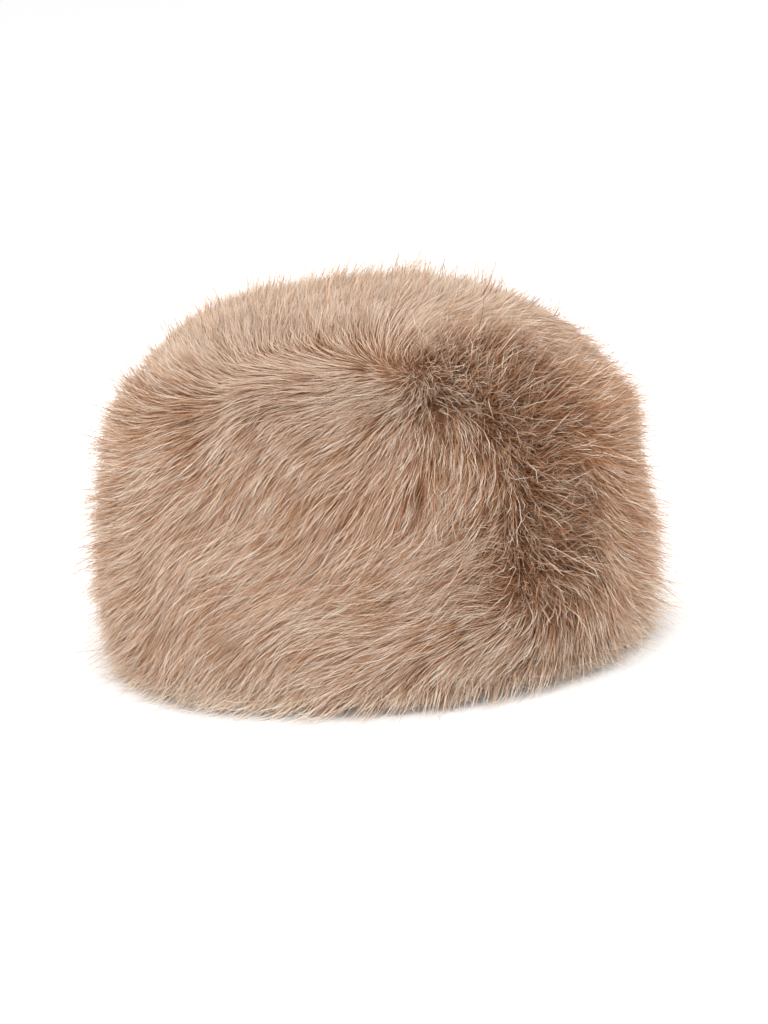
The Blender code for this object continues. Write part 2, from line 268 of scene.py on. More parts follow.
# The fringe that hangs from the hem: the runs and depth of its roots, how it leans along the hem and
# wavers round it, how far it reaches over the floor, and the share of that and the tuck at the hat's
# sides
FRINGE_RUNS = (0.020, 0.070)
FRINGE_ROOT_DEPTH = 0.003
FRINGE_LEAN = -0.9
FRINGE_WAVER = 0.35
FRINGE_WAVES = 7
FRINGE_REACH = 0.0110
FRINGE_SIDE_SHARE = 0.15
FRINGE_SIDE_TUCK = 0.003
# How far a hair of the fringe has gone along the hem at a third, two thirds and all of its length. Then,
# as shares, its drop at one third, its height and its reach at two thirds, and the height of its tip in
# metres.
FRINGE_DRIFTS = (0.002, 0.007, 0.015)
FRINGE_DROP = 0.25
FRINGE_HEIGHT = 0.35
FRINGE_HALF_WAY = 0.23
FRINGE_TIP_HEIGHT = 0.0007

# The standing, tangled pile of the parting: how strong it is, and where it starts above the hem and ends
# on the crown
Fade = namedtuple("Fade", "run width")
STANDING_STRENGTH = 1.3
STANDING_START = Fade(0.145, 0.06)
STANDING_END = Fade(0.69, 0.05)
# What standing does to the pile: how little it follows the comb, how much deeper its roots lie, how high
# it stands, how far it leans with the comb, and how much thicker it is haired
STANDING_HOLD = 0.85
STANDING_SINK = 0.004
STANDING_HEIGHT = 0.008
STANDING_LEAN = 0.22
STANDING_CROWDING = 0.35
# What standing does to a single hair: shorter and thicker by these shares, less drawn to its tuft,
# straying farther, and its tip and its middle thrown about in metres
STANDING_SHORTENS = 0.56
STANDING_THICKENS = 0.45
STANDING_LOOSENS = 0.75
STANDING_UNRULY = 1.2
STANDING_TANGLE = 0.0270
STANDING_CURL = 0.060
# A lying hair rises from its root by this power of the share along it
RISING_POWER = 0.8

# Browner parts of the coat, darker in the hair's tone: how strong, and the middle and width of each along
# the outline and round the hat. They are a painted shade along the crown seam's valley, and darker bands
# above the hem all round and to the left of the parting.
Shade = namedtuple("Shade", "strength run run_width turn_deg turn_width")
SHADES = [
    Shade(0.6, 0.605, 0.030, -22, 24),
    Shade(0.30, 0.25, 0.05, 0, math.inf),
    Shade(0.8, 0.31, 0.06, 9, 10),
]
# The shade painted beside the parting, dark in its dent and reaching farther to its right: where it starts
# and ends, how many degrees wide it is to each side at two runs, and how strong it is to the left
SHADE_START = Fade(0.15, 0.08)
SHADE_END = Fade(0.74, 0.1)
SHADE_WIDTH_RUNS = (0.10, 0.45)
SHADE_WIDTHS_LEFT = (24.0, 12.0)
SHADE_WIDTHS_RIGHT = (15.0, 46.0)
SHADE_STRENGTH_LEFT = 0.55
# The hem painted paler, a painted light where it lies in shade: how much, up to which run, and how much
# higher it reaches below the parting
HEM_PAINTED_LIGHT = 4.0
HEM_LIGHT_RUN = 0.13
HEM_LIGHT_RISE = 0.08
HEM_RISE_TURN_DEG = 42
HEM_RISE_WIDTH_DEG = 20

# Noise over the coat: patches where the pile stands, broad waves, and a mottled tone
PATCH_SCALE = 170.0
PATCH_GAIN = 3.2
PATCH_OFFSET = -0.7
WAVE_SCALE = 38.0
WAVE_HEIGHT = 0.010
NOISE_MIDDLE = (0.5, 0.5, 0.5)
MOTTLE_SCALE = 95.0
MOTTLE_GAIN = 0.8

# Random draws, each with its own number: the least and the most that a hair or a tuft gets. A hair's
# length is draw 1, between the tree's own inputs, and tufts are strewn with a seed of their own.
Draw = namedtuple("Draw", "number least most")
TUFT_LENGTH = Draw(2, 0.86, 1.1)
HAIR_PULL = Draw(3, 0.55, 1.1)
TUFT_LEAN = Draw(4, -1.0, 1.0)
HAIR_LEAN = Draw(5, -0.8, 0.8)
HAIR_LEAN_AGAIN = Draw(13, -0.8, 0.8)
TUFT_LIFT = Draw(6, -0.38, 0.38)
HAIR_LIFT = Draw(7, 0.0, 1.0)
HAIR_TANGLE = Draw(8, (-1.0, -1.0, -1.0), (1.0, 1.0, 1.0))
HAIR_ROLL = Draw(9, -1.1, 1.1)
HAIR_THICKNESS = Draw(10, 0.7, 1.3)
HAIR_TONE = Draw(11, 0.0, 1.0)
TUFT_TONE = Draw(12, -0.21, 0.21)
HAIR_SIDE_BOW = Draw(14, -1.1, 1.1)
HAIR_OUT_BOW = Draw(15, -0.2, 0.5)
HAIR_CURL = Draw(16, (-1.0, -1.0, -1.0), (1.0, 1.0, 1.0))
HAIR_PALENESS = Draw(17, 0.0, 1.0)
HAIR_LENGTH_NUMBER = 1
TUFT_SEED_STEP = 7.0
# How late tufts close towards their tips, how far whole tufts lean, and how rare strong lifts are
TUFT_CLOSING = 1.6
TUFT_LEAN_SHARE = 0.45
LIFT_RARENESS = 3.0

# The tone of a hair: more hairs are dark than pale. Standing and hollow places are darker, partly as their
# darker roots show and partly as painted shade, and shaded places are darker by painted shade. Of the
# standing hairs, those with a paleness above the limit are pale.
TONE_POWER = 2.0
TONE_SPREAD = 1.2
TONE_OFFSET = -0.46
STANDING_DARKENS = 0.25
SHADE_DARKENS = 0.17
HOLLOW_DARKENS = 0.6
PALE_LIMIT = 0.73
PALE_TONE = 0.85
TONE_LEAST = 0.02
TONE_MOST = 0.97
# The hair's map: its name, the width of a hair on it, how far up it a hair reaches, and how much less far
# in a hollow, so that there the darker root colour shows along the hair, partly as painted shade
HAIR_MAP = "OFBake"
MAP_HAIR_WIDTH = 0.006
MAP_REACH = 0.99
HOLLOW_MAP_LOSS = 0.90

# How far any hair may stand past the fur's outline, and how near to the floor it may come
FARTHEST_HAIR = 0.0125
LOWEST_HAIR = 0.0004

# One hair as a flat strip: its rows as shares along it and of its width, and its size before it is laid
STRIP_ROWS = [(0.00, 0.75), (0.40, 1.00), (0.75, 0.72)]
STRIP_LENGTH = 0.001
STRIP_HALF_WIDTH = 0.0001

# The backing and the undercoat: points round the hat, rows of each part, and the crown's last run.
# At its foot the undercoat draws in by a depth up to a run, and it keeps off the floor.
PANEL_SIDES = 144
BAND_ROWS = 28
WALL_ROWS = 10
CROWN_ROWS = 20
UNDERCOAT_END_RUN = 0.99
UNDERCOAT_FOOT_TUCK = 0.006
UNDERCOAT_FOOT_RUN = 0.06
UNDERCOAT_FLOOR_GAP = 0.0006
# The cloth's map: its name and its length round the hat. Then a stitch's width, a row's height, and how
# far the rows show.
CLOTH_MAP = "cloth"
CLOTH_ROUND = 0.57
WALE_WIDTH = 0.0012
COURSE_HEIGHT = 0.0009
COURSE_SHARE = 0.3

# The camera, and how far the hat stands from the middle of the picture, to the right and upwards
CAMERA_DISTANCE = 1.3
CAMERA_ELEVATION_DEG = 11.5
CAMERA_ROLL_DEG = -3.9
CAMERA_LENS = 109.7
FRAME_OFFSET = (-0.0056, 0.0214)

# The square soft lights: place, the point they are aimed at, width and power in watts
Light = namedtuple("Light", "name place aim size watts")
LIGHTS = [
    Light("key_light", (-0.9, -1.1, 1.7), (0, 0, 0.07), 1.4, 20.5),
    Light("fill_light", (1.3, -1.5, 0.7), (0, 0, 0.07), 1.4, 12.0),
    Light("top_light", (0.0, 0.5, 1.9), (0, 0, 0.10), 1.2, 10.0),
    Light("back_light", (0.2, 1.8, 0.9), (0, 0, 0.07), 1.4, 12.0),
    Light("front_light", (0.1, -1.9, 0.22), (0, 0, 0.05), 1.0, 20.5),
]
FLOOR_SIZE = 60.0


class HatForm(bpy.types.PropertyGroup):
    """Depths of the hat's layers below the fur's outline, and how the parting stands."""

    root_depth: FloatProperty(
        name="Root depth",
        description="How deep below the outline the hairs start",
        default=0.0085,
        unit="LENGTH",
    )
    tip_depth: FloatProperty(
        name="Tip depth",
        description="How deep below the outline the tips of a calm coat lie",
        default=0.002,
        unit="LENGTH",
    )
    undercoat_depth: FloatProperty(
        name="Undercoat depth",
        description="How deep the packed undercoat lies",
        default=0.0070,
        unit="LENGTH",
    )
    parting_standing: FloatProperty(
        name="Standing in the parting",
        description="How upright the hair stands in the parting",
        default=0.85,
        min=0.0,
        max=1.0,
        subtype="FACTOR",
    )


class FurCoat(bpy.types.PropertyGroup):
    """The hair of the coat."""

    hair_length: FloatProperty(
        name="Hair length", description="Length of a hair along the coat", default=0.028, unit="LENGTH"
    )
    hair_width: FloatProperty(
        name="Hair width", description="Width of a hair at its widest", default=0.00026, unit="LENGTH"
    )
    hairs_per_cm2: FloatProperty(
        name="Hairs per cm2", description="Hairs on a square centimetre of the coat", default=134.0
    )
    tufts_per_cm2: FloatProperty(
        name="Tufts per cm2", description="Tufts on a square centimetre of the coat", default=14.0
    )
    tuft_pull: FloatProperty(
        name="Tuft pull",
        description="How far hair tips close up to the middle of their tuft",
        default=0.82,
        min=0.0,
        max=1.0,
        subtype="FACTOR",
    )
    lift: FloatProperty(
        name="Lift", description="How far tips stand off the coat", default=0.0070, unit="LENGTH"
    )
    stray: FloatProperty(
        name="Stray", description="How far tips stray sideways", default=0.0055, unit="LENGTH"
    )
    guard_hairs_per_cm2: FloatProperty(
        name="Guard hairs per cm2", description="Long loose hairs on a square centimetre", default=18.0
    )
    guard_lift: FloatProperty(
        name="Guard hair lift",
        description="How far the long hairs stand off the coat",
        default=0.0165,
        unit="LENGTH",
    )
    fringe_hairs_per_cm2: FloatProperty(
        name="Fringe hairs per cm2",
        description="Loose hairs on a square centimetre of the hem",
        default=18.0,
    )
    seed: IntProperty(name="Seed", description="Changes where each hair and tuft stands", default=11)


class FurColours(bpy.types.PropertyGroup):
    """Colours of the hair, the backing and the studio."""

    root: FloatVectorProperty(
        name="Root", description="Hair colour at the root", default=(0.228, 0.095, 0.041), subtype="COLOR"
    )
    dark_middle: FloatVectorProperty(
        name="Dark middle",
        description="Colour of the darkest hair towards its tip",
        default=(0.318, 0.153, 0.072),
        subtype="COLOR",
    )
    dark_tip: FloatVectorProperty(
        name="Dark tip",
        description="Colour of the darkest hair at its tip",
        default=(0.525, 0.289, 0.158),
        subtype="COLOR",
    )
    pale_middle: FloatVectorProperty(
        name="Pale middle",
        description="Colour of the palest hair past its middle",
        default=(0.586, 0.420, 0.300),
        subtype="COLOR",
    )
    tip: FloatVectorProperty(
        name="Pale tip",
        description="Colour of the palest hair at its tip",
        default=(0.826, 0.737, 0.628),
        subtype="COLOR",
    )
    undercoat: FloatVectorProperty(
        name="Undercoat",
        description="Colour of the packed undercoat",
        default=(0.190, 0.098, 0.055),
        subtype="COLOR",
    )
    backing: FloatVectorProperty(
        name="Backing",
        description="Colour of the cloth backing",
        default=(0.330, 0.250, 0.195),
        subtype="COLOR",
    )
    floor: FloatVectorProperty(
        name="Floor", description="Colour of the studio floor", default=(0.98, 0.98, 0.98), subtype="COLOR"
    )


def outline_points():
    """The fur's section as arrays of shares of the half width and heights, lower lip to crown middle."""
    angle = np.linspace(0, math.pi / 2, OUTLINE_STEPS)
    lip = LIP_SHARE + (1 - LIP_SHARE) * np.sin(angle)
    lip_height = LIP_HEIGHT + (BELLY_HEIGHT - LIP_HEIGHT) * (1 - np.cos(angle))
    shoulder = TOP_FLAT_SHARE + (SHOULDER_SHARE - TOP_FLAT_SHARE) * np.cos(angle)
    shoulder_height = SHOULDER_HEIGHT + (HAT_HEIGHT - SHOULDER_HEIGHT) * np.sin(angle)
    shares = np.concatenate([lip, shoulder, [0.0]])
    heights = np.concatenate([lip_height, shoulder_height, [HAT_HEIGHT]])
    return shares, heights


OUTLINE_SHARES, OUTLINE_HEIGHTS = outline_points()
STEP_LENGTHS = np.hypot(np.diff(OUTLINE_SHARES) * FUR_HALF_X, np.diff(OUTLINE_HEIGHTS))
OUTLINE_LENGTH = STEP_LENGTHS.sum()
OUTLINE_RUNS = np.concatenate([[0.0], np.cumsum(STEP_LENGTHS)]) / OUTLINE_LENGTH
RUN_TABLE = np.linspace(0, 1, TABLE_STEPS)
SHARE_TABLE = np.interp(RUN_TABLE, OUTLINE_RUNS, OUTLINE_SHARES)
HEIGHT_TABLE = np.interp(RUN_TABLE, OUTLINE_RUNS, OUTLINE_HEIGHTS)


def run_at_share(share):
    """The run on the shoulder where the outline has narrowed to a share of the half width."""
    upper = HEIGHT_TABLE > SHOULDER_HEIGHT
    return float(np.interp(-share, -SHARE_TABLE[upper], RUN_TABLE[upper]))


SEAM_RUN = run_at_share(SEAM_SHARE)


def run_at_height(height):
    """The run where the outline reaches a height."""
    return float(np.interp(height, HEIGHT_TABLE, RUN_TABLE))


def unit(vectors):
    """Each vector at length 1."""
    return vectors / np.maximum(np.linalg.norm(vectors, axis=-1, keepdims=True), 1e-9)


def oval(turn, share, height):
    """Points on the fur's ovals."""
    return np.stack([FUR_HALF_X * share * np.sin(turn), -FUR_HALF_Y * share * np.cos(turn), height], axis=-1)


def bell(distance, width):
    """1 at no distance, falling smoothly away over the width."""
    return np.exp(-((distance / width) ** 2))


def rising(run, fade):
    """0 up to the fade's run, growing to 1 over its width."""
    return np.clip((run - fade.run) / fade.width, 0, 1)


def falling(run, fade):
    """1 until the fade's width below its run, shrinking to 0 at it."""
    return np.clip((fade.run - run) / fade.width, 0, 1)


def near_foot(run, reach):
    """1 at the lower lip, shrinking to 0 at the reach."""
    return np.clip(1 - run / reach, 0, 1)


PARTING_RUNS, PARTING_TURNS_DEG, PARTING_WIDTHS_DEG = np.array(PARTING).T


def degrees_off_parting(turn, run):
    """How many degrees round the hat from the line of the parting, less than 0 towards -X."""
    return (np.degrees(turn) - np.interp(run, PARTING_RUNS, PARTING_TURNS_DEG) + 180) % 360 - 180


def parting_strength(turn, run):
    """1 on the line of the parting, which runs down the band from the crown seam, fading to 0 beside it."""
    return bell(degrees_off_parting(turn, run), np.interp(run, PARTING_RUNS, PARTING_WIDTHS_DEG))


def dent_depth(turn, run):
    """How far the pile lies below the outline, at the parting and along the crown seam."""
    on_band = np.where(run < SEAM_RUN, 1.0, bell(run - SEAM_RUN, SEAM_DENT_WIDTH))
    above_hem = np.minimum(run / SEAM_RUN * PARTING_DEEPENING, 1.0)
    front = 0.5 + 0.5 * np.cos(turn)
    dent = PARTING_DEPTH * parting_strength(turn, run) * on_band * above_hem
    return dent + SEAM_DENT_DEPTH * bell(run - SEAM_RUN, SEAM_DENT_WIDTH) * front


def frames_at(turn, run):
    """Points on the outline, and there the directions round the hat, up the outline and out of the pile."""
    run = np.clip(run, 0, 1)
    low, high = np.clip(run - RUN_NUDGE, 0, 1), np.clip(run + RUN_NUDGE, 0, 1)
    place, below, above = (
        oval(turn, np.interp(at, RUN_TABLE, SHARE_TABLE), np.interp(at, RUN_TABLE, HEIGHT_TABLE))
        for at in (run, low, high)
    )
    around = unit(np.stack([FUR_HALF_X * np.cos(turn), FUR_HALF_Y * np.sin(turn), 0 * turn], axis=-1))
    upward = unit(above - below)
    outward = unit(np.cross(around, upward))
    return place, around, upward, outward


def coat_at(turn, run):
    """Points on the coat's dented form, and the direction out of it."""
    place, _, _, outward = frames_at(turn, run)
    return place - outward * dent_depth(turn, run)[..., None], outward


def turn_and_run(points):
    """The place round the hat and along the outline that is nearest to each point."""
    turn = np.arctan2(points[..., 0] / FUR_HALF_X, -points[..., 1] / FUR_HALF_Y)
    share = np.hypot(points[..., 0] / FUR_HALF_X, points[..., 1] / FUR_HALF_Y)
    across = (share[..., None] - SHARE_TABLE) * FUR_HALF_X
    apart = across**2 + (points[..., 2, None] - HEIGHT_TABLE) ** 2
    return turn, RUN_TABLE[np.argmin(apart, axis=-1)]


def comb_guides(rows, run_of):
    """Each row of a comb table as a point on the fur and the direction that the hair points in there."""
    turn = np.radians([row.turn_deg for row in rows])
    run = np.array([run_of(row.up) for row in rows])
    heading = np.radians([row.heading_deg for row in rows])[:, None]
    place, around, upward, _ = frames_at(turn, run)
    return place, around * np.sin(heading) - upward * np.cos(heading)


BAND_GUIDES = comb_guides(BAND_COMB, lambda up: run_at_height(up * HAT_HEIGHT))
CROWN_GUIDES = comb_guides(CROWN_COMB, run_at_share)
GUIDE_PLACES, GUIDE_DIRECTIONS = (np.concatenate(pair) for pair in zip(BAND_GUIDES, CROWN_GUIDES))


def hollow_axes(hollow):
    """The middle of a hollow, and the directions round the hat, up the outline and out of the pile there."""
    run = np.array([run_at_height(hollow.up * HAT_HEIGHT)])
    turn = np.array([math.radians(hollow.turn_deg)])
    _, around, upward, outward = frames_at(turn, run)
    return coat_at(turn, run)[0][0], around[0], upward[0], outward[0]


def hollow_push(points):
    """The sideways push of the hair away from the middle line of each hollow."""
    push = np.zeros_like(points)
    for hollow in HOLLOWS:
        middle, around, upward, outward = hollow_axes(hollow)
        offset = points - middle
        sideways = offset @ around
        near = bell(sideways, PUSH_WIDTHS * hollow.half_width)
        near = near * bell(offset @ upward, PUSH_HEIGHTS * hollow.half_height)
        near = near * bell(offset @ outward, HOLLOW_REACH)
        push += around * (np.tanh(sideways / hollow.half_width) * near)[:, None]
    return push


def comb_direction(points, outward):
    """The hair's direction along the fur at each point, blended from the guides near it."""
    apart = ((points[:, None] - GUIDE_PLACES[None]) ** 2).sum(axis=-1)
    weight = 1 / (apart + COMB_REACH**2) ** 3
    total = unit((weight[..., None] * GUIDE_DIRECTIONS[None]).sum(axis=1))
    total = total + HOLLOW_PUSH * hollow_push(points)
    return unit(total - outward * (total * outward).sum(axis=-1, keepdims=True))


def spread_at_foot(points, direction, reach):
    """Where hair goes that is down on the floor: round the hem with its comb, and a little outwards."""
    level = direction * (1, 1, 0)
    away = unit(points * (1, 1, 0))
    moved = points + (level + away * FOOT_SPLAY * away[:, 1:2] ** 2) * reach
    moved[:, 2] = points[:, 2] - LANDED_DROP
    return moved


def comb_paths(turn, run, length):
    """Points that follow the comb over the coat from each root, and the direction out of the coat there."""
    points, outward = coat_at(turn, run)
    landed = np.zeros(len(points), dtype=bool)
    trail, outs = [points], [outward]
    for _ in range(COMB_STEPS):
        free = 1 - STANDING_HOLD * standing_share(turn, run)[:, None]
        direction = comb_direction(points, outward)
        reach = free * np.where(landed[:, None], LANDED_PACE, 1.0) * (length / COMB_STEPS)
        turn, run = turn_and_run(points + direction * reach)
        landed |= run < LANDING_RUN
        on_coat, out_of_coat = coat_at(turn, run)
        points = np.where(landed[:, None], spread_at_foot(points, direction, reach), on_coat)
        outward = np.where(landed[:, None], outward, out_of_coat)
        trail.append(points)
        outs.append(outward)
    return np.array(trail), np.array(outs)


def cubic_paths(at_thirds):
    """The vectors a, b, c of the curves a t + b t^2 + c t^3 through the offsets at t of 1/3, 2/3 and 1."""
    powers = np.array([[(k / 3) ** p for p in (1, 2, 3)] for k in (1, 2, 3)])
    return np.einsum("pk,knx->pnx", np.linalg.inv(powers), at_thirds)


def whorl_share(points):
    """1 at the middle of the whorl, fading to 0 round it."""
    middle = oval(
        np.radians([WHORL_TURN_DEG]),
        np.interp([WHORL_RUN], RUN_TABLE, SHARE_TABLE),
        np.interp([WHORL_RUN], RUN_TABLE, HEIGHT_TABLE),
    )
    return bell(np.linalg.norm(points - middle, axis=-1), WHORL_WIDTH)


def tuck_depth(tuck, turn):
    """How far a tuck draws the coat in."""
    return bell(np.degrees(turn) - tuck.turn_deg, tuck.width_deg) * tuck.depth


def foot_tuck(turn, run):
    """How far the coat draws in towards the lower lip, at the hat's left and right."""
    return sum(tuck_depth(tuck, turn) for tuck in FOOT_TUCKS) * near_foot(run, FOOT_TUCK_RUN)


def hair_paths(turn, run, form, length):
    """Roots of hairs at places on the coat, and the cubic curves that the hairs follow from them."""
    trail, outs = comb_paths(turn, run, length)
    standing = form.parting_standing * standing_share(turn, run)
    standing = np.maximum(standing, WHORL_STANDING * whorl_share(trail[0]))[:, None]
    share_along = np.linspace(0, 1, len(trail))[:, None, None]
    slimmer = tuck_depth(LEFT_TUCK, turn) + foot_tuck(turn, run)
    height = form.root_depth * (share_along**RISING_POWER - 1) - form.tip_depth - slimmer[:, None]
    lying = trail + outs * height
    root = lying[0] - outs[0] * STANDING_SINK * standing
    upright = root + outs[0] * (form.root_depth + STANDING_HEIGHT) * share_along
    upright = upright + (trail - trail[0]) * STANDING_LEAN * share_along
    course = lying * (1 - standing) + upright * standing
    thirds = [len(trail) // 3, 2 * len(trail) // 3, -1]
    return root, outs[0], cubic_paths(np.array([course[k] - root for k in thirds]))


def fringe_paths(turn, run, form):
    """Roots and courses of the fringe, which hangs from the hem and spreads out over the floor."""
    place, around, _, outward = frames_at(turn, run)
    away = unit(place * (1, 1, 0))
    lean = around * (FRINGE_LEAN * np.cos(turn) + FRINGE_WAVER * np.sin(FRINGE_WAVES * turn))[:, None]
    side_share = FRINGE_SIDE_SHARE
    reach = away * (FRINGE_REACH * (side_share + (1 - side_share) * np.cos(turn) ** 2))[:, None]
    place = place - away * (foot_tuck(turn, run) + FRINGE_SIDE_TUCK * np.sin(turn) ** 2)[:, None]
    root = place - outward * (form.tip_depth + FRINGE_ROOT_DEPTH)
    floor = place * (1, 1, 0)
    low = place[:, 2:]
    thirds = [
        place - outward * form.tip_depth - low * (0, 0, FRINGE_DROP),
        floor + reach * FRINGE_HALF_WAY + low * (0, 0, FRINGE_HEIGHT),
        floor + reach + (0, 0, FRINGE_TIP_HEIGHT),
    ]
    courses = [third + lean * drift for third, drift in zip(thirds, FRINGE_DRIFTS)]
    return root, outward, cubic_paths(np.array(courses) - root)


def standing_share(turn, run):
    """How far the pile stands up and tangles, from 0 to 1 in the parting."""
    edge = falling(run, STANDING_END) * rising(run, STANDING_START)
    return np.clip(STANDING_STRENGTH * parting_strength(turn, run) * edge, 0, 1)


def shade_share(turn, run):
    """Browner painted shade: 1 at the parting, fading farther to its right; below 0 at the hem, painted
    light.
    """
    away = degrees_off_parting(turn, run)
    left, right = (np.interp(run, SHADE_WIDTH_RUNS, w) for w in (SHADE_WIDTHS_LEFT, SHADE_WIDTHS_RIGHT))
    strength = np.where(away > 0, 1.0, SHADE_STRENGTH_LEFT)
    ends = falling(run, SHADE_END) * rising(run, SHADE_START)
    painted_shade = [bell(away, np.where(away > 0, right, left)) * strength * ends]
    for shade in SHADES:
        here = shade.strength * bell(run - shade.run, shade.run_width)
        painted_shade.append(here * bell(np.degrees(turn) - shade.turn_deg, shade.turn_width))
    # The hem is painted paler: painted light where it lies in shade
    rise = HEM_LIGHT_RISE * bell(np.degrees(turn) - HEM_RISE_TURN_DEG, HEM_RISE_WIDTH_DEG)
    return np.max(painted_shade, axis=0) - HEM_PAINTED_LIGHT * near_foot(run, HEM_LIGHT_RUN + rise)


def store(mesh, name, values):
    """A named attribute on a mesh's points, of numbers or of vectors."""
    values = np.asarray(values, dtype=np.float32)
    kind, key = ("FLOAT", "value") if values.ndim == 1 else ("FLOAT_VECTOR", "vector")
    attribute = mesh.attributes.new(name, kind, "POINT")
    attribute.data.foreach_set(key, values.ravel())


def grid_faces(columns, rows):
    """Faces of a grid whose points run along the rows of each column in turn."""
    faces = []
    for i in range(columns - 1):
        for k in range(rows - 1):
            corner = i * rows + k
            faces.append((corner, corner + rows, corner + rows + 1, corner + 1))
    return faces


def pelt_mesh(pelt, form, coat):
    """The sheet of hair roots of a pelt, with the course of the hair at each of its points."""
    low, high = PILE_SEAM_RUN - SEAM_OVERLAP, PILE_SEAM_RUN + SEAM_OVERLAP
    ends = {"band": (FOOT_RUN, high), "crown": (low, CROWN_END_RUN), "fringe": FRINGE_RUNS}
    first_run, last_run = ends[pelt.panel]
    columns = round((pelt.last_deg - pelt.first_deg) / PELT_COLUMN_DEG) + 1
    rows = max(round((last_run - first_run) * OUTLINE_LENGTH / PELT_ROW), 1) + 1
    turns = np.radians(np.linspace(pelt.first_deg, pelt.last_deg, columns))
    runs = np.linspace(first_run, last_run, rows)
    turn, run = (grid.ravel() for grid in np.meshgrid(turns, runs, indexing="ij"))
    if pelt.panel == "fringe":
        root, outward, curves = fringe_paths(turn, run, form)
    else:
        root, outward, curves = hair_paths(turn, run, form, coat.hair_length)
    standing = standing_share(turn, run)
    crossed = np.clip((run - low) / (high - low), 0, 1)
    crowded = 1 + WHORL_CROWDING * whorl_share(coat_at(turn, run)[0])
    crowded = crowded + FOOT_CROWDING * near_foot(run, FOOT_CROWDING_RUN) + STANDING_CROWDING * standing
    mesh = bpy.data.meshes.new(pelt.name + "_pelt")
    mesh.from_pydata([tuple(p) for p in root], [], grid_faces(columns, rows))
    for name, vectors in zip(HAIR_CURVES, curves):
        store(mesh, name, vectors)
    store(mesh, "outward", outward)
    store(mesh, "standing", standing)
    # Painted shade for the hair's tone, and painted light where it is below 0 at the hem
    store(mesh, "shade", shade_share(turn, run))
    store(mesh, "thickness", crowded * (crossed if pelt.panel == "crown" else 1 - crossed))
    return mesh


class Nodes:
    """Adds nodes to a tree, each with its inputs given as sockets to link or as plain values."""

    def __init__(self, tree):
        self.tree = tree

    def add(self, kind, inputs=None, output=0, **settings):
        node = self.tree.nodes.new(kind)
        for name, value in settings.items():
            setattr(node, name, value)
        for name, value in (inputs or {}).items():
            self.plug(node, name, value)
        if output is None:
            return node
        return self.out(node, output)

    @staticmethod
    def out(node, name):
        if isinstance(name, int):
            return [s for s in node.outputs if s.enabled][name]
        return next(s for s in node.outputs if s.name == name and s.enabled)

    def plug(self, node, name, value):
        if isinstance(name, int):
            target = [s for s in node.inputs if s.enabled][name]
        else:
            target = next(s for s in node.inputs if s.name == name and s.enabled)
        if isinstance(value, bpy.types.NodeSocket):
            self.tree.links.new(value, target)
        else:
            target.default_value = value

    def math(self, operation, *values):
        return self.add("ShaderNodeMath", dict(enumerate(values)), operation=operation)

    def times(self, *values):
        return functools.reduce(lambda product, value: self.math("MULTIPLY", product, value), values)

    def plus(self, *values):
        return functools.reduce(lambda total, value: self.math("ADD", total, value), values)

    def between(self, value, least, most):
        return self.math("MINIMUM", self.math("MAXIMUM", value, least), most)

    def vector(self, operation, *values):
        return self.add("ShaderNodeVectorMath", dict(enumerate(values)), operation=operation)

    def scaled(self, vector, factor):
        return self.add("ShaderNodeVectorMath", {0: vector, "Scale": factor}, operation="SCALE")

    def total(self, *vectors):
        return functools.reduce(lambda total, vector: self.vector("ADD", total, vector), vectors)

    def noise(self, place, scale, detail, output=0):
        values = {"Vector": place, "Scale": scale, "Detail": detail}
        return self.add("ShaderNodeTexNoise", values, output=output)

    def attribute(self, name, kind="FLOAT"):
        return self.add("GeometryNodeInputNamedAttribute", {"Name": name}, data_type=kind)

    def draw(self, draw, key, kind="FLOAT"):
        values = {"Min": draw.least, "Max": draw.most, "ID": key, "Seed": draw.number}
        return self.add("FunctionNodeRandomValue", values, data_type=kind)

    def keep(self, geometry, name, value, kind="FLOAT", domain="POINT"):
        values = {"Geometry": geometry, "Name": name, "Value": value}
        return self.add("GeometryNodeStoreNamedAttribute", values, data_type=kind, domain=domain)


def tree_socket(tree, name, kind, default=None, is_output=False):
    """A named input or output of a node tree."""
    side = "OUTPUT" if is_output else "INPUT"
    made = tree.interface.new_socket(name=name, in_out=side, socket_type=kind)
    if default is not None:
        made.default_value = default


HAIR_INPUTS = [
    ("Hairs per m2", "NodeSocketFloat", 1.0e6),
    ("Tufts per m2", "NodeSocketFloat", 5.0e4),
    ("Width", "NodeSocketFloat", 0.0004),
    ("Shortest", "NodeSocketFloat", 0.78),
    ("Longest", "NodeSocketFloat", 1.12),
    ("Tuft Pull", "NodeSocketFloat", 0.6),
    ("Lift", "NodeSocketFloat", 0.003),
    ("Stray", "NodeSocketFloat", 0.002),
    ("Tone", "NodeSocketFloat", 0.5),
    ("Contrast", "NodeSocketFloat", 0.5),
    ("Seed", "NodeSocketInt", 1),
    ("Hair", "NodeSocketObject", None),
    ("Material", "NodeSocketMaterial", None),
]


def placed(name, data):
    """A new object with this data, in the scene."""
    made = bpy.data.objects.new(name, data)
    bpy.context.collection.objects.link(made)
    return made


def kept_in_reach(nodes, place):
    """Places moved in, so that no hair reaches too far from the hat, under the floor or above the top."""
    parts = nodes.add("ShaderNodeSeparateXYZ", {0: place}, output=None).outputs
    across = nodes.math("DIVIDE", parts["X"], FUR_HALF_X + FARTHEST_HAIR)
    along = nodes.math("DIVIDE", parts["Y"], FUR_HALF_Y + FARTHEST_HAIR)
    reach = nodes.math("SQRT", nodes.plus(nodes.times(across, across), nodes.times(along, along)))
    inward = nodes.math("DIVIDE", 1.0, nodes.math("MAXIMUM", reach, 1.0))
    values = {
        "X": nodes.times(parts["X"], inward),
        "Y": nodes.times(parts["Y"], inward),
        "Z": nodes.between(parts["Z"], LOWEST_HAIR, HAT_HEIGHT + FARTHEST_HAIR),
    }
    return nodes.add("ShaderNodeCombineXYZ", values)


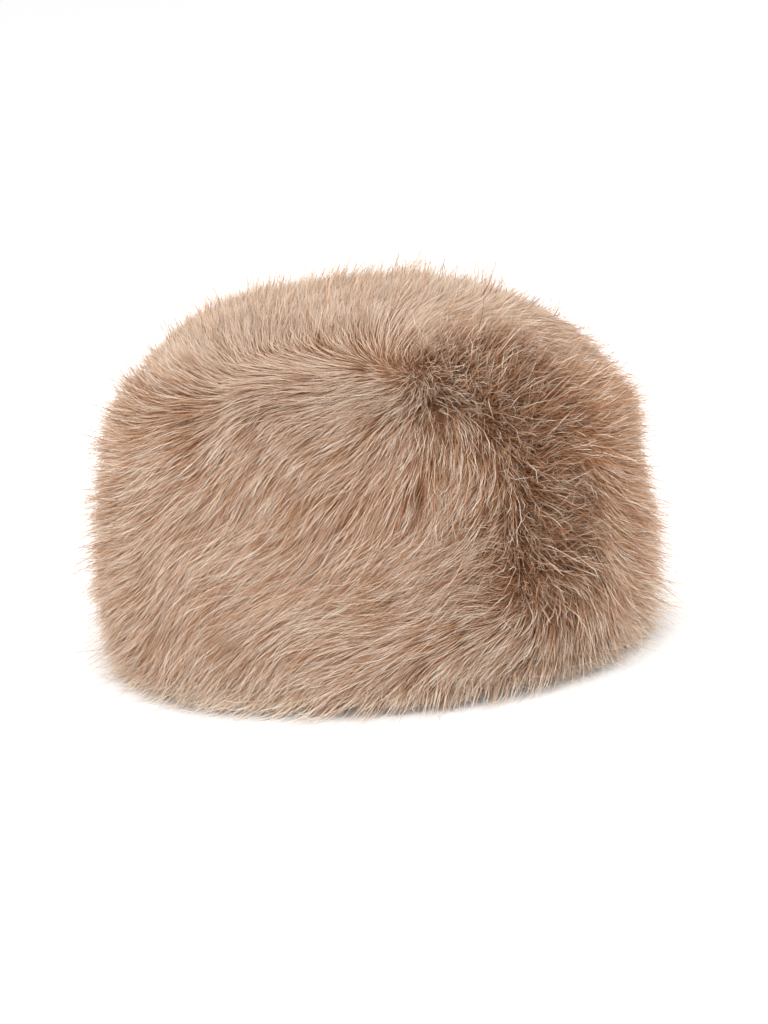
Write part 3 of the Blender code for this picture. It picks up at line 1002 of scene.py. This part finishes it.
def hollow_field(nodes, place):
    """How far each place lies in a hollow, from 0 to 1."""
    deepest = 0.0
    for hollow in HOLLOWS:
        middle, *axes = hollow_axes(hollow)
        offset = nodes.vector("SUBTRACT", place, tuple(middle))
        apart = 0.0
        for axis, reach in zip(axes, (hollow.half_width, hollow.half_height, HOLLOW_REACH)):
            values = {0: offset, 1: tuple(axis / reach)}
            away = nodes.add("ShaderNodeVectorMath", values, operation="DOT_PRODUCT")
            apart = nodes.plus(apart, nodes.times(away, away))
        deepest = nodes.math("MAXIMUM", deepest, nodes.math("EXPONENT", nodes.times(apart, -1.0)))
    return deepest


def strips_on_pelt(nodes, given):
    """A strip for each root, as yet at the root, that knows its hair, its tuft and the way to the tuft."""
    pelt, seed = given["Geometry"], given["Seed"]
    position = nodes.add("GeometryNodeInputPosition")
    density = nodes.times(given["Hairs per m2"], nodes.attribute("thickness"))
    values = {"Mesh": pelt, "Density": density, "Seed": seed}
    roots = nodes.add("GeometryNodeDistributePointsOnFaces", values)
    values = {"Mesh": pelt, "Density": given["Tufts per m2"], "Seed": nodes.plus(seed, TUFT_SEED_STEP)}
    tufts = nodes.add("GeometryNodeDistributePointsOnFaces", values)

    # Each hair belongs to the tuft nearest to its root
    nearest = nodes.add("GeometryNodeSampleNearest", {"Geometry": tufts, "Sample Position": position})
    values = {"Geometry": tufts, "Value": position, "Index": nearest}
    middle = nodes.add("GeometryNodeSampleIndex", values, data_type="FLOAT_VECTOR")
    points = nodes.keep(roots, "root", position, "FLOAT_VECTOR")
    points = nodes.keep(points, "to_tuft", nodes.vector("SUBTRACT", middle, position), "FLOAT_VECTOR")
    points = nodes.keep(points, "tuft", nearest, "INT")
    points = nodes.keep(points, "hair", nodes.add("GeometryNodeInputIndex"), "INT")
    blank = nodes.add("GeometryNodeObjectInfo", {"Object": given["Hair"]}, output="Geometry")
    strips = nodes.add("GeometryNodeInstanceOnPoints", {"Points": points, "Instance": blank})
    return nodes.add("GeometryNodeRealizeInstances", {"Geometry": strips})


def hair_course(nodes, given):
    """What the other parts of the tree need to know at a point of a strip, with its place on its curve."""
    at = SimpleNamespace(hair=nodes.attribute("hair", "INT"), tuft=nodes.attribute("tuft", "INT"))
    at.root = nodes.attribute("root", "FLOAT_VECTOR")
    at.outward = nodes.attribute("outward", "FLOAT_VECTOR")
    at.along = nodes.attribute("along")
    patches = nodes.noise(at.root, PATCH_SCALE, detail=2.0)
    patches = nodes.math("MULTIPLY_ADD", patches, PATCH_GAIN, PATCH_OFFSET)
    at.standing = nodes.between(nodes.times(nodes.attribute("standing"), patches), 0.0, 1.0)
    own_length = Draw(HAIR_LENGTH_NUMBER, given["Shortest"], given["Longest"])
    grown = nodes.times(at.along, nodes.draw(own_length, at.hair))
    shortened = nodes.math("MULTIPLY_ADD", at.standing, -STANDING_SHORTENS, 1.0)
    at.t = nodes.times(grown, nodes.times(nodes.draw(TUFT_LENGTH, at.tuft), shortened))
    at.t_squared = nodes.times(at.t, at.t)
    at.slack = nodes.times(at.t, nodes.math("SUBTRACT", 1.0, at.t))
    a, b, c = (nodes.attribute(name, "FLOAT_VECTOR") for name in HAIR_CURVES)
    t_cubed = nodes.times(at.t_squared, at.t)
    at.laid = nodes.total(nodes.scaled(a, at.t), nodes.scaled(b, at.t_squared), nodes.scaled(c, t_cubed))
    slope = nodes.total(
        a, nodes.scaled(b, nodes.times(at.t, 2.0)), nodes.scaled(c, nodes.times(at.t_squared, 3.0))
    )
    at.heading = nodes.vector("NORMALIZE", slope)
    at.beside = nodes.vector("NORMALIZE", nodes.vector("CROSS_PRODUCT", at.heading, at.outward))
    return at


def hair_place(nodes, given, at):
    """Where a point of a strip goes: along the hair's curve, moved as tufts and single hairs are."""
    # Tips close up to their tuft, less so where the hair stands and tangles
    tidy = nodes.math("SUBTRACT", 1.0, nodes.times(at.standing, STANDING_LOOSENS))
    pull = nodes.times(nodes.math("POWER", at.t, TUFT_CLOSING), given["Tuft Pull"])
    pull = nodes.times(pull, nodes.times(tidy, nodes.draw(HAIR_PULL, at.hair)))
    gathered = nodes.scaled(nodes.attribute("to_tuft", "FLOAT_VECTOR"), pull)

    # Whole tufts and single hairs lean to a side, bow and lift
    tuft_lean = nodes.times(nodes.draw(TUFT_LEAN, at.tuft), TUFT_LEAN_SHARE)
    hair_lean = nodes.plus(nodes.draw(HAIR_LEAN, at.hair), nodes.draw(HAIR_LEAN_AGAIN, at.hair))
    lean = nodes.times(nodes.plus(tuft_lean, hair_lean), at.t)
    bow = nodes.times(nodes.draw(HAIR_SIDE_BOW, at.hair), at.slack)
    unruly = nodes.plus(1.0, nodes.times(at.standing, STANDING_UNRULY))
    side = nodes.times(given["Stray"], nodes.plus(lean, bow), unruly)
    tuft_lift = nodes.times(nodes.draw(TUFT_LIFT, at.tuft), at.t)
    rare_lift = nodes.math("POWER", nodes.draw(HAIR_LIFT, at.hair), LIFT_RARENESS)
    out_bow = nodes.times(nodes.draw(HAIR_OUT_BOW, at.hair), at.slack)
    lift = nodes.times(given["Lift"], nodes.plus(tuft_lift, nodes.times(rare_lift, at.t_squared), out_bow))

    # Standing hair is thrown about
    tangle = nodes.draw(HAIR_TANGLE, at.hair, "FLOAT_VECTOR")
    tangle = nodes.scaled(tangle, nodes.times(at.standing, STANDING_TANGLE, at.t))
    curl = nodes.draw(HAIR_CURL, at.hair, "FLOAT_VECTOR")
    curl = nodes.scaled(curl, nodes.times(at.standing, STANDING_CURL, at.slack))

    # Broad waves in the coat
    wave = nodes.noise(at.root, WAVE_SCALE, detail=1.0, output="Color")
    wave = nodes.vector("SUBTRACT", wave, NOISE_MIDDLE)
    wave = nodes.scaled(wave, nodes.times(at.t_squared, WAVE_HEIGHT))

    # Each strip turns about its own length, so that some of it faces every way
    roll = nodes.draw(HAIR_ROLL, at.hair)
    face_out = nodes.vector("CROSS_PRODUCT", at.beside, at.heading)
    flat = nodes.total(
        nodes.scaled(at.beside, nodes.math("COSINE", roll)), nodes.scaled(face_out, nodes.math("SINE", roll))
    )
    thick = nodes.times(given["Width"], nodes.draw(HAIR_THICKNESS, at.hair))
    thick = nodes.times(thick, nodes.math("MULTIPLY_ADD", at.standing, STANDING_THICKENS, 1.0))
    width = nodes.scaled(flat, nodes.times(nodes.attribute("across"), thick))
    sideways = nodes.scaled(at.beside, side)
    lifted = nodes.scaled(at.outward, lift)
    return nodes.total(at.root, at.laid, gathered, sideways, lifted, tangle, curl, wave, width)


def hair_colour_place(nodes, given, at, hollow):
    """The place on the hair's map that the colour is read from: tone across, root to tip upwards."""
    tone = nodes.math("POWER", nodes.draw(HAIR_TONE, at.hair), TONE_POWER)
    tone = nodes.math("MULTIPLY_ADD", tone, TONE_SPREAD, TONE_OFFSET)
    mottle = nodes.noise(at.root, MOTTLE_SCALE, detail=1.0)
    mottle = nodes.math("MULTIPLY_ADD", mottle, MOTTLE_GAIN, -MOTTLE_GAIN / 2)
    tone = nodes.plus(tone, nodes.draw(TUFT_TONE, at.tuft), mottle)
    tone = nodes.math("MULTIPLY_ADD", tone, given["Contrast"], given["Tone"])
    pale = nodes.math("GREATER_THAN", nodes.draw(HAIR_PALENESS, at.hair), PALE_LIMIT)
    tone = nodes.plus(tone, nodes.times(pale, at.standing, PALE_TONE))
    # The shade mask darkens the tone as painted shade, and lightens it at the hem as painted light
    shade = nodes.times(nodes.attribute("shade"), SHADE_DARKENS)
    # Standing pile and hollows are darker, partly as their roots show and partly as painted shade
    darker = nodes.math("MULTIPLY_ADD", at.standing, STANDING_DARKENS, shade)
    darker = nodes.plus(darker, nodes.times(hollow, HOLLOW_DARKENS))
    tone = nodes.between(nodes.math("SUBTRACT", tone, darker), TONE_LEAST, TONE_MOST)
    # In a hollow the colour is read nearer the root: partly the roots that show, partly painted shade
    values = {
        "X": nodes.plus(tone, nodes.times(nodes.attribute("map_side"), MAP_HAIR_WIDTH)),
        "Y": nodes.times(at.along, nodes.math("MULTIPLY_ADD", hollow, -HOLLOW_MAP_LOSS, MAP_REACH)),
        "Z": 0.0,
    }
    return nodes.add("ShaderNodeCombineXYZ", values)


def hair_tree():
    """The node tree that grows hair on a pelt: tufted, tapering strips along the pelt's own curves."""
    tree = bpy.data.node_groups.new("grow_hair", "GeometryNodeTree")
    tree.is_modifier = True
    tree_socket(tree, "Geometry", "NodeSocketGeometry")
    for name, kind, default in HAIR_INPUTS:
        tree_socket(tree, name, kind, default)
    tree_socket(tree, "Geometry", "NodeSocketGeometry", is_output=True)
    nodes = Nodes(tree)
    given = nodes.add("NodeGroupInput", output=None).outputs
    strips = strips_on_pelt(nodes, given)
    at = hair_course(nodes, given)
    place = hair_place(nodes, given, at)
    hollow = hollow_field(nodes, place)
    place = nodes.vector("SUBTRACT", place, nodes.scaled(at.outward, nodes.times(hollow, HOLLOW_DEPTH)))
    values = {"Geometry": strips, "Position": kept_in_reach(nodes, place)}
    strips = nodes.add("GeometryNodeSetPosition", values)
    strips = nodes.keep(strips, HAIR_MAP, hair_colour_place(nodes, given, at, hollow), "FLOAT2", "CORNER")
    strips = nodes.add("GeometryNodeSetMaterial", {"Geometry": strips, "Material": given["Material"]})
    nodes.add("NodeGroupOutput", {"Geometry": strips}, output=None)
    return tree


def hair_blank():
    """One hair as a flat strip that narrows to its tip, with its shares along and across."""
    points, along, across, map_side = [], [], [], []
    for height, width in STRIP_ROWS:
        for side in (-1, 1):
            points.append((side * STRIP_HALF_WIDTH, 0, height * STRIP_LENGTH))
            along.append(height)
            across.append(0.5 * side * width)
            map_side.append(0.5 * side)
    points.append((0, 0, STRIP_LENGTH))
    mesh = bpy.data.meshes.new("hair_blank")
    mesh.from_pydata(points, [], [(0, 1, 3, 2), (2, 3, 5, 4), (4, 5, 6)])
    store(mesh, "along", [*along, 1.0])
    store(mesh, "across", [*across, 0.0])
    store(mesh, "map_side", [*map_side, 0.0])
    return placed("hair_blank", mesh)


def set_inputs(modifier, values):
    """Sets a node modifier's inputs by their names in its tree."""
    identifiers = {
        item.name: item.identifier
        for item in modifier.node_group.interface.items_tree
        if item.item_type == "SOCKET" and item.in_out == "INPUT"
    }
    for name, value in values.items():
        modifier[identifiers[name]] = value


def plain_copy(grown, name):
    """The evaluated object as a plain mesh object, in place of the one that it was grown on."""
    graph = bpy.context.evaluated_depsgraph_get()
    mesh = bpy.data.meshes.new_from_object(grown.evaluated_get(graph))
    kept = ("position", "material_index", "sharp_face", HAIR_MAP)
    for attribute in [a.name for a in mesh.attributes if not a.is_internal and a.name not in kept]:
        mesh.attributes.remove(mesh.attributes[attribute])
    mesh.shade_smooth()
    mesh.name = name
    made = placed(name, mesh)
    source = grown.data
    bpy.data.objects.remove(grown)
    bpy.data.meshes.remove(source)
    return made


def grow_hair(pelt, form, coat, values):
    """Hair on one pelt, as a plain mesh."""
    sheet = placed(pelt.name + "_pelt", pelt_mesh(pelt, form, coat))
    grow = sheet.modifiers.new("grow_hair", "NODES")
    grow.node_group = bpy.data.node_groups.get("grow_hair") or hair_tree()
    shared = {
        "Tone": pelt.tone,
        "Contrast": pelt.contrast,
        "Hair": bpy.data.objects.get("hair_blank") or hair_blank(),
        "Material": material_named("taupe_hair", fur_material),
    }
    set_inputs(grow, {**shared, **values})
    return plain_copy(sheet, pelt.name)


def coat_values(pelt, coat, number):
    """The tree's inputs for the main coat. Its hair is calmer where it falls less into tufts."""
    return {
        "Hairs per m2": coat.hairs_per_cm2 * CM2_IN_M2 * pelt.thickness,
        "Tufts per m2": coat.tufts_per_cm2 * CM2_IN_M2,
        "Width": coat.hair_width,
        "Tuft Pull": coat.tuft_pull * pelt.tufting,
        "Lift": coat.lift * (0.4 + 0.6 * pelt.tufting),
        "Stray": coat.stray * (0.6 + 0.4 * pelt.tufting),
        "Seed": coat.seed + number,
    }


def guard_values(coat, number):
    """The tree's inputs for the long loose hairs: thinner, and in wider tufts than the coat's."""
    return {
        "Hairs per m2": coat.guard_hairs_per_cm2 * CM2_IN_M2,
        "Tufts per m2": coat.tufts_per_cm2 * CM2_IN_M2 * 0.35,
        "Width": coat.hair_width * 0.75,
        "Shortest": 1.05,
        "Longest": 1.45,
        "Tuft Pull": 0.55,
        "Lift": coat.guard_lift,
        "Stray": coat.stray * 1.3,
        "Seed": coat.seed + GUARD_SEED + number,
    }


def fringe_values(coat):
    """The tree's inputs for the hairs of the hem: wider than the coat's, and of very uneven length."""
    return {
        "Hairs per m2": coat.fringe_hairs_per_cm2 * CM2_IN_M2,
        "Tufts per m2": coat.tufts_per_cm2 * CM2_IN_M2 * 0.6,
        "Width": coat.hair_width * 1.25,
        "Shortest": 0.55,
        "Longest": 1.25,
        "Tuft Pull": 0.45,
        "Lift": 0.0015,
        "Stray": coat.stray * 0.9,
        "Seed": coat.seed + FRINGE_SEED,
    }


def ramp(nodes, factor, stops):
    """The colour of a ramp with these positions and colours."""
    node = nodes.add("ShaderNodeValToRGB", {"Fac": factor}, output=None)
    elements = node.color_ramp.elements
    while len(elements) < len(stops):
        elements.new(0.5)
    for element, (position, colour) in zip(elements, stops):
        element.position = position
        element.color = (*colour, 1.0)
    return node.outputs["Color"]


def new_material(name, roughness, specular):
    """A material with a Principled BSDF, and its nodes."""
    material = bpy.data.materials.new(name)
    material.use_nodes = True
    shader = material.node_tree.nodes["Principled BSDF"]
    shader.inputs["Roughness"].default_value = roughness
    shader.inputs["Specular IOR Level"].default_value = specular
    return material, shader, Nodes(material.node_tree)


def material_named(name, make):
    """The material of this name, made the first time that it is asked for."""
    return bpy.data.materials.get(name) or make(name)


def shaded(colour, factor):
    """The colour, darker or brighter by a factor."""
    return tuple(channel * factor for channel in colour)


def fur_material(name):
    """Hair that is brown at the root and paler at the tip, light or dark by its place on the hair's map."""
    colours = bpy.context.scene.fur_colours
    material, shader, nodes = new_material(name, roughness=0.55, specular=0.08)
    place = nodes.add("ShaderNodeUVMap", uv_map=HAIR_MAP)
    parts = nodes.add("ShaderNodeSeparateXYZ", {0: place}, output=None).outputs
    lowest = (0.0, shaded(colours.root, 0.4))
    dark_stops = [lowest, (0.45, colours.root), (0.8, colours.dark_middle), (1.0, colours.dark_tip)]
    pale_stops = [
        lowest,
        (0.35, shaded(colours.root, 1.1)),
        (0.6, colours.pale_middle),
        (0.88, shaded(colours.tip, 0.94)),
        (1.0, colours.tip),
    ]
    mix = nodes.add("ShaderNodeMix", output=None, data_type="RGBA")
    nodes.plug(mix, "Factor", parts["X"])
    nodes.plug(mix, "A", ramp(nodes, parts["Y"], dark_stops))
    nodes.plug(mix, "B", ramp(nodes, parts["Y"], pale_stops))
    nodes.plug(shader, "Base Color", nodes.out(mix, "Result"))
    return material


def undercoat_material(name):
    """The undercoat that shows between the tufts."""
    colours = bpy.context.scene.fur_colours
    material, shader, nodes = new_material(name, roughness=0.95, specular=0.1)
    place = nodes.add("ShaderNodeTexCoord", output="Object")
    grain = nodes.noise(place, scale=900.0, detail=3.0)
    stops = [(0.3, shaded(colours.undercoat, 0.5)), (0.7, shaded(colours.undercoat, 1.5))]
    nodes.plug(shader, "Base Color", ramp(nodes, grain, stops))
    return material


def backing_material(name):
    """The knitted back of the fur cloth: rows of small stitches."""
    colours = bpy.context.scene.fur_colours
    material, shader, nodes = new_material(name, roughness=0.85, specular=0.5)
    place = nodes.add("ShaderNodeUVMap", uv_map=CLOTH_MAP)
    parts = nodes.add("ShaderNodeSeparateXYZ", {0: place}, output=None).outputs
    wale = nodes.math("SINE", nodes.times(parts["X"], 2 * math.pi / WALE_WIDTH))
    course = nodes.math("SINE", nodes.times(parts["Y"], 2 * math.pi / COURSE_HEIGHT))
    course = nodes.plus(nodes.times(course, COURSE_SHARE), 1 - COURSE_SHARE)
    stitch = nodes.times(nodes.math("ABSOLUTE", wale), course)
    # The colour follows the stitch height as the bump does: darker in the gaps between stitches, a painted
    # shade
    stops = [(0.1, shaded(colours.backing, 0.65)), (0.8, shaded(colours.backing, 1.15))]
    nodes.plug(shader, "Base Color", ramp(nodes, stitch, stops))
    bump = nodes.add("ShaderNodeBump", {"Strength": 0.6, "Distance": 0.0003, "Height": stitch})
    nodes.plug(shader, "Normal", bump)
    return material


def wall_ring(turns, half_x, half_y, height):
    """A ring round the head hollow or the hem, as points."""
    return np.stack([half_x * np.sin(turns), -half_y * np.cos(turns), 0 * turns + height], axis=-1)


def undercoat_ring(turns, run, depth, shift=0.0):
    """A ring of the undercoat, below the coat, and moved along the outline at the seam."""
    runs = np.full_like(turns, run)
    place, _, upward, outward = frames_at(turns, runs)
    sunk = depth + dent_depth(turns, runs) + STANDING_SINK * standing_share(turns, runs)
    sunk = sunk + UNDERCOAT_FOOT_TUCK * near_foot(runs, UNDERCOAT_FOOT_RUN) + foot_tuck(turns, runs)
    points = place - outward * sunk[:, None] + upward * shift
    points[:, 2] = np.maximum(points[:, 2], UNDERCOAT_FLOOR_GAP)
    return points


def backed_panel(name, rings, fur_rows, capped):
    """A closed panel from rings of points: packed fur on some of its rows and knitted backing on the rest.

    A capped panel has a fur cap on its last ring and a backing cap on its first. Otherwise its last ring
    joins the first.
    """
    sides = len(rings[0])
    mesh = bmesh.new()
    layer = mesh.loops.layers.uv.new(CLOTH_MAP)
    rows = [[mesh.verts.new(p) for p in ring] for ring in rings]
    pairs = list(zip(rows, rows[1:]))
    if not capped:
        pairs.append((rows[-1], rows[0]))
    arc = CLOTH_ROUND / sides
    length = 0.0
    for number, (low, high) in enumerate(pairs):
        far_length = length + (high[0].co - low[0].co).length
        for i in range(sides):
            j = (i + 1) % sides
            face = mesh.faces.new((low[i], low[j], high[j], high[i]))
            face.material_index = 0 if number in fur_rows else 1
            face.smooth = True
            near, far = i * arc, (i + 1) * arc
            corners = ((near, length), (far, length), (far, far_length), (near, far_length))
            for loop, corner in zip(face.loops, corners):
                loop[layer].uv = corner
        length = far_length
    for index, corners in enumerate((rows[-1], rows[0][::-1]) if capped else ()):
        face = mesh.faces.new(corners)
        face.material_index = index
        face.smooth = index == 0
        for loop in face.loops:
            loop[layer].uv = (loop.vert.co.x, loop.vert.co.y)
    bmesh.ops.recalc_face_normals(mesh, faces=mesh.faces)
    data = bpy.data.meshes.new(name)
    mesh.to_mesh(data)
    mesh.free()
    data.materials.append(material_named("undercoat", undercoat_material))
    data.materials.append(material_named("knit_backing", backing_material))
    return placed(name, data)


def finish_piece(piece, *nodes):
    """Puts a piece on the hat's body, in place of the solids that it stands for."""
    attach(piece, BODY)
    if nodes:
        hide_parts(*nodes)


class HAT_OT_backing(bpy.types.Operator):
    """Makes the side band and the crown tip: packed undercoat outside, knitted backing inside"""

    bl_idname = "hat.backing"
    bl_label = "Backing and Undercoat"

    def execute(self, context):
        depth = context.scene.hat_form.undercoat_depth
        turns = np.linspace(0, 2 * math.pi, PANEL_SIDES, endpoint=False)
        top = WALL_TOP_SHARE
        rings = [undercoat_ring(turns, run, depth) for run in np.linspace(0.0, SEAM_RUN, BAND_ROWS)[:-1]]
        rings.append(undercoat_ring(turns, SEAM_RUN, depth, -SEAM_GAP / 2))
        fur_rows = set(range(len(rings) - 1))
        rings.append(wall_ring(turns, HEAD_HALF_X * top, HEAD_HALF_Y * top, CEILING_HEIGHT - 1.5 * SEAM_GAP))
        for share in np.linspace(top, 1.0, WALL_ROWS)[1:]:
            height = CEILING_HEIGHT * (1 - share) / (1 - top)
            rings.append(wall_ring(turns, HEAD_HALF_X * share, HEAD_HALF_Y * share, height))
        rings.append(wall_ring(turns, HEAD_HALF_X + HEM_WIDTH, HEAD_HALF_Y + HEM_WIDTH, 0.0))
        fur_rows.add(len(rings) - 1)
        finish_piece(backed_panel("band_backing", rings, fur_rows, capped=False), "side_band")
        rings = [wall_ring(turns, HEAD_HALF_X * top, HEAD_HALF_Y * top, CEILING_HEIGHT)]
        rings.append(undercoat_ring(turns, SEAM_RUN, depth, SEAM_GAP / 2))
        crown_runs = np.linspace(SEAM_RUN, UNDERCOAT_END_RUN, CROWN_ROWS)[1:]
        rings += [undercoat_ring(turns, run, depth) for run in crown_runs]
        fur_rows = set(range(1, len(rings)))
        finish_piece(backed_panel("crown_backing", rings, fur_rows, capped=True), "crown_tip")
        return {"FINISHED"}


class HAT_OT_coat(bpy.types.Operator):
    """Grows the long fur of the side band and the crown"""

    bl_idname = "hat.coat"
    bl_label = "Fur Coat"

    def execute(self, context):
        form, coat = context.scene.hat_form, context.scene.fur_coat
        for number, pelt in enumerate(COAT_PELTS):
            finish_piece(grow_hair(pelt, form, coat, coat_values(pelt, coat, number)))
        return {"FINISHED"}


class HAT_OT_guard_hairs(bpy.types.Operator):
    """Grows the sparse long hairs that stand off the coat, and the fringe of the hem"""

    bl_idname = "hat.guard_hairs"
    bl_label = "Guard Hairs"

    def execute(self, context):
        form, coat = context.scene.hat_form, context.scene.fur_coat
        for number, pelt in enumerate(GUARD_PELTS):
            finish_piece(grow_hair(pelt, form, coat, guard_values(coat, number)))
        finish_piece(grow_hair(FRINGE_PELT, form, coat, fringe_values(coat)))
        return {"FINISHED"}


def add_light(light):
    """A square soft light that points at a place."""
    data = bpy.data.lights.new(light.name, "AREA")
    data.shape = "SQUARE"
    data.size = light.size
    data.energy = light.watts
    lamp = placed(light.name, data)
    lamp.location = light.place
    lamp.rotation_euler = (Vector(light.aim) - Vector(light.place)).to_track_quat("-Z", "Y").to_euler()


def add_camera():
    """The camera that looks at the hat's front from above the rim, leaning as the photograph does."""
    elevation = math.radians(CAMERA_ELEVATION_DEG)
    ahead = Vector((0, math.cos(elevation), -math.sin(elevation)))
    above = Vector((0, math.sin(elevation), math.cos(elevation)))
    aim = Vector((0, 0, HAT_HEIGHT / 2))
    place = aim - ahead * CAMERA_DISTANCE
    seen = aim - Vector((1, 0, 0)) * FRAME_OFFSET[0] - above * FRAME_OFFSET[1]
    level = (seen - place).to_track_quat("-Z", "Y").to_matrix()
    turned = level @ Matrix.Rotation(math.radians(CAMERA_ROLL_DEG), 3, "Z")
    data = bpy.data.cameras.new("camera")
    data.sensor_width = 36.0
    data.lens = CAMERA_LENS
    data.clip_start = 0.05
    camera = placed("camera", data)
    camera.matrix_world = Matrix.Translation(place) @ turned.to_4x4()
    bpy.context.scene.camera = camera


class HAT_OT_studio(bpy.types.Operator):
    """Sets up the pale floor, the soft lights and the camera"""

    bl_idname = "hat.studio"
    bl_label = "Studio"

    def execute(self, context):
        material, shader, _ = new_material("studio_floor", roughness=0.9, specular=0.0)
        shader.inputs["Base Color"].default_value = (*context.scene.fur_colours.floor, 1.0)
        bpy.ops.mesh.primitive_plane_add(size=FLOOR_SIZE, location=(0, 0, 0))
        floor = context.active_object
        floor.name = "studio_floor"
        floor.data.materials.append(material)
        for light in LIGHTS:
            add_light(light)
        world = bpy.data.worlds.new("studio_world")
        world.use_nodes = True
        background = world.node_tree.nodes["Background"]
        background.inputs["Color"].default_value = (1.0, 1.0, 1.0, 1.0)
        background.inputs["Strength"].default_value = 1.0
        context.scene.world = world
        context.scene.view_settings.view_transform = "Standard"
        add_camera()
        return {"FINISHED"}


class HAT_PT_panel(bpy.types.Panel):
    """The hat's settings and steps"""

    bl_idname = "HAT_PT_panel"
    bl_label = "Fur Pillbox Hat"
    bl_space_type = "VIEW_3D"
    bl_region_type = "UI"
    bl_category = "Fur Hat"

    def draw(self, context):
        layout = self.layout
        for group in (context.scene.hat_form, context.scene.fur_coat, context.scene.fur_colours):
            box = layout.box()
            for name in group.__annotations__:
                box.prop(group, name)
        for operator in OPERATORS:
            layout.operator(operator.bl_idname)


OPERATORS = (HAT_OT_backing, HAT_OT_coat, HAT_OT_guard_hairs, HAT_OT_studio)
GROUPS = {"hat_form": HatForm, "fur_coat": FurCoat, "fur_colours": FurColours}


def register():
    for cls in (*GROUPS.values(), *OPERATORS, HAT_PT_panel):
        bpy.utils.register_class(cls)
    for name, cls in GROUPS.items():
        setattr(bpy.types.Scene, name, PointerProperty(type=cls))


def unregister():
    for name in GROUPS:
        delattr(bpy.types.Scene, name)
    for cls in (HAT_PT_panel, *reversed(OPERATORS), *GROUPS.values()):
        bpy.utils.unregister_class(cls)


def main():
    register()
    bpy.ops.hat.backing()
    bpy.ops.hat.coat()
    bpy.ops.hat.guard_hairs()
    bpy.ops.hat.studio()
    blank = bpy.data.objects.get("hair_blank")
    if blank:
        bpy.data.objects.remove(blank)


if __name__ == "__main__":
    main()
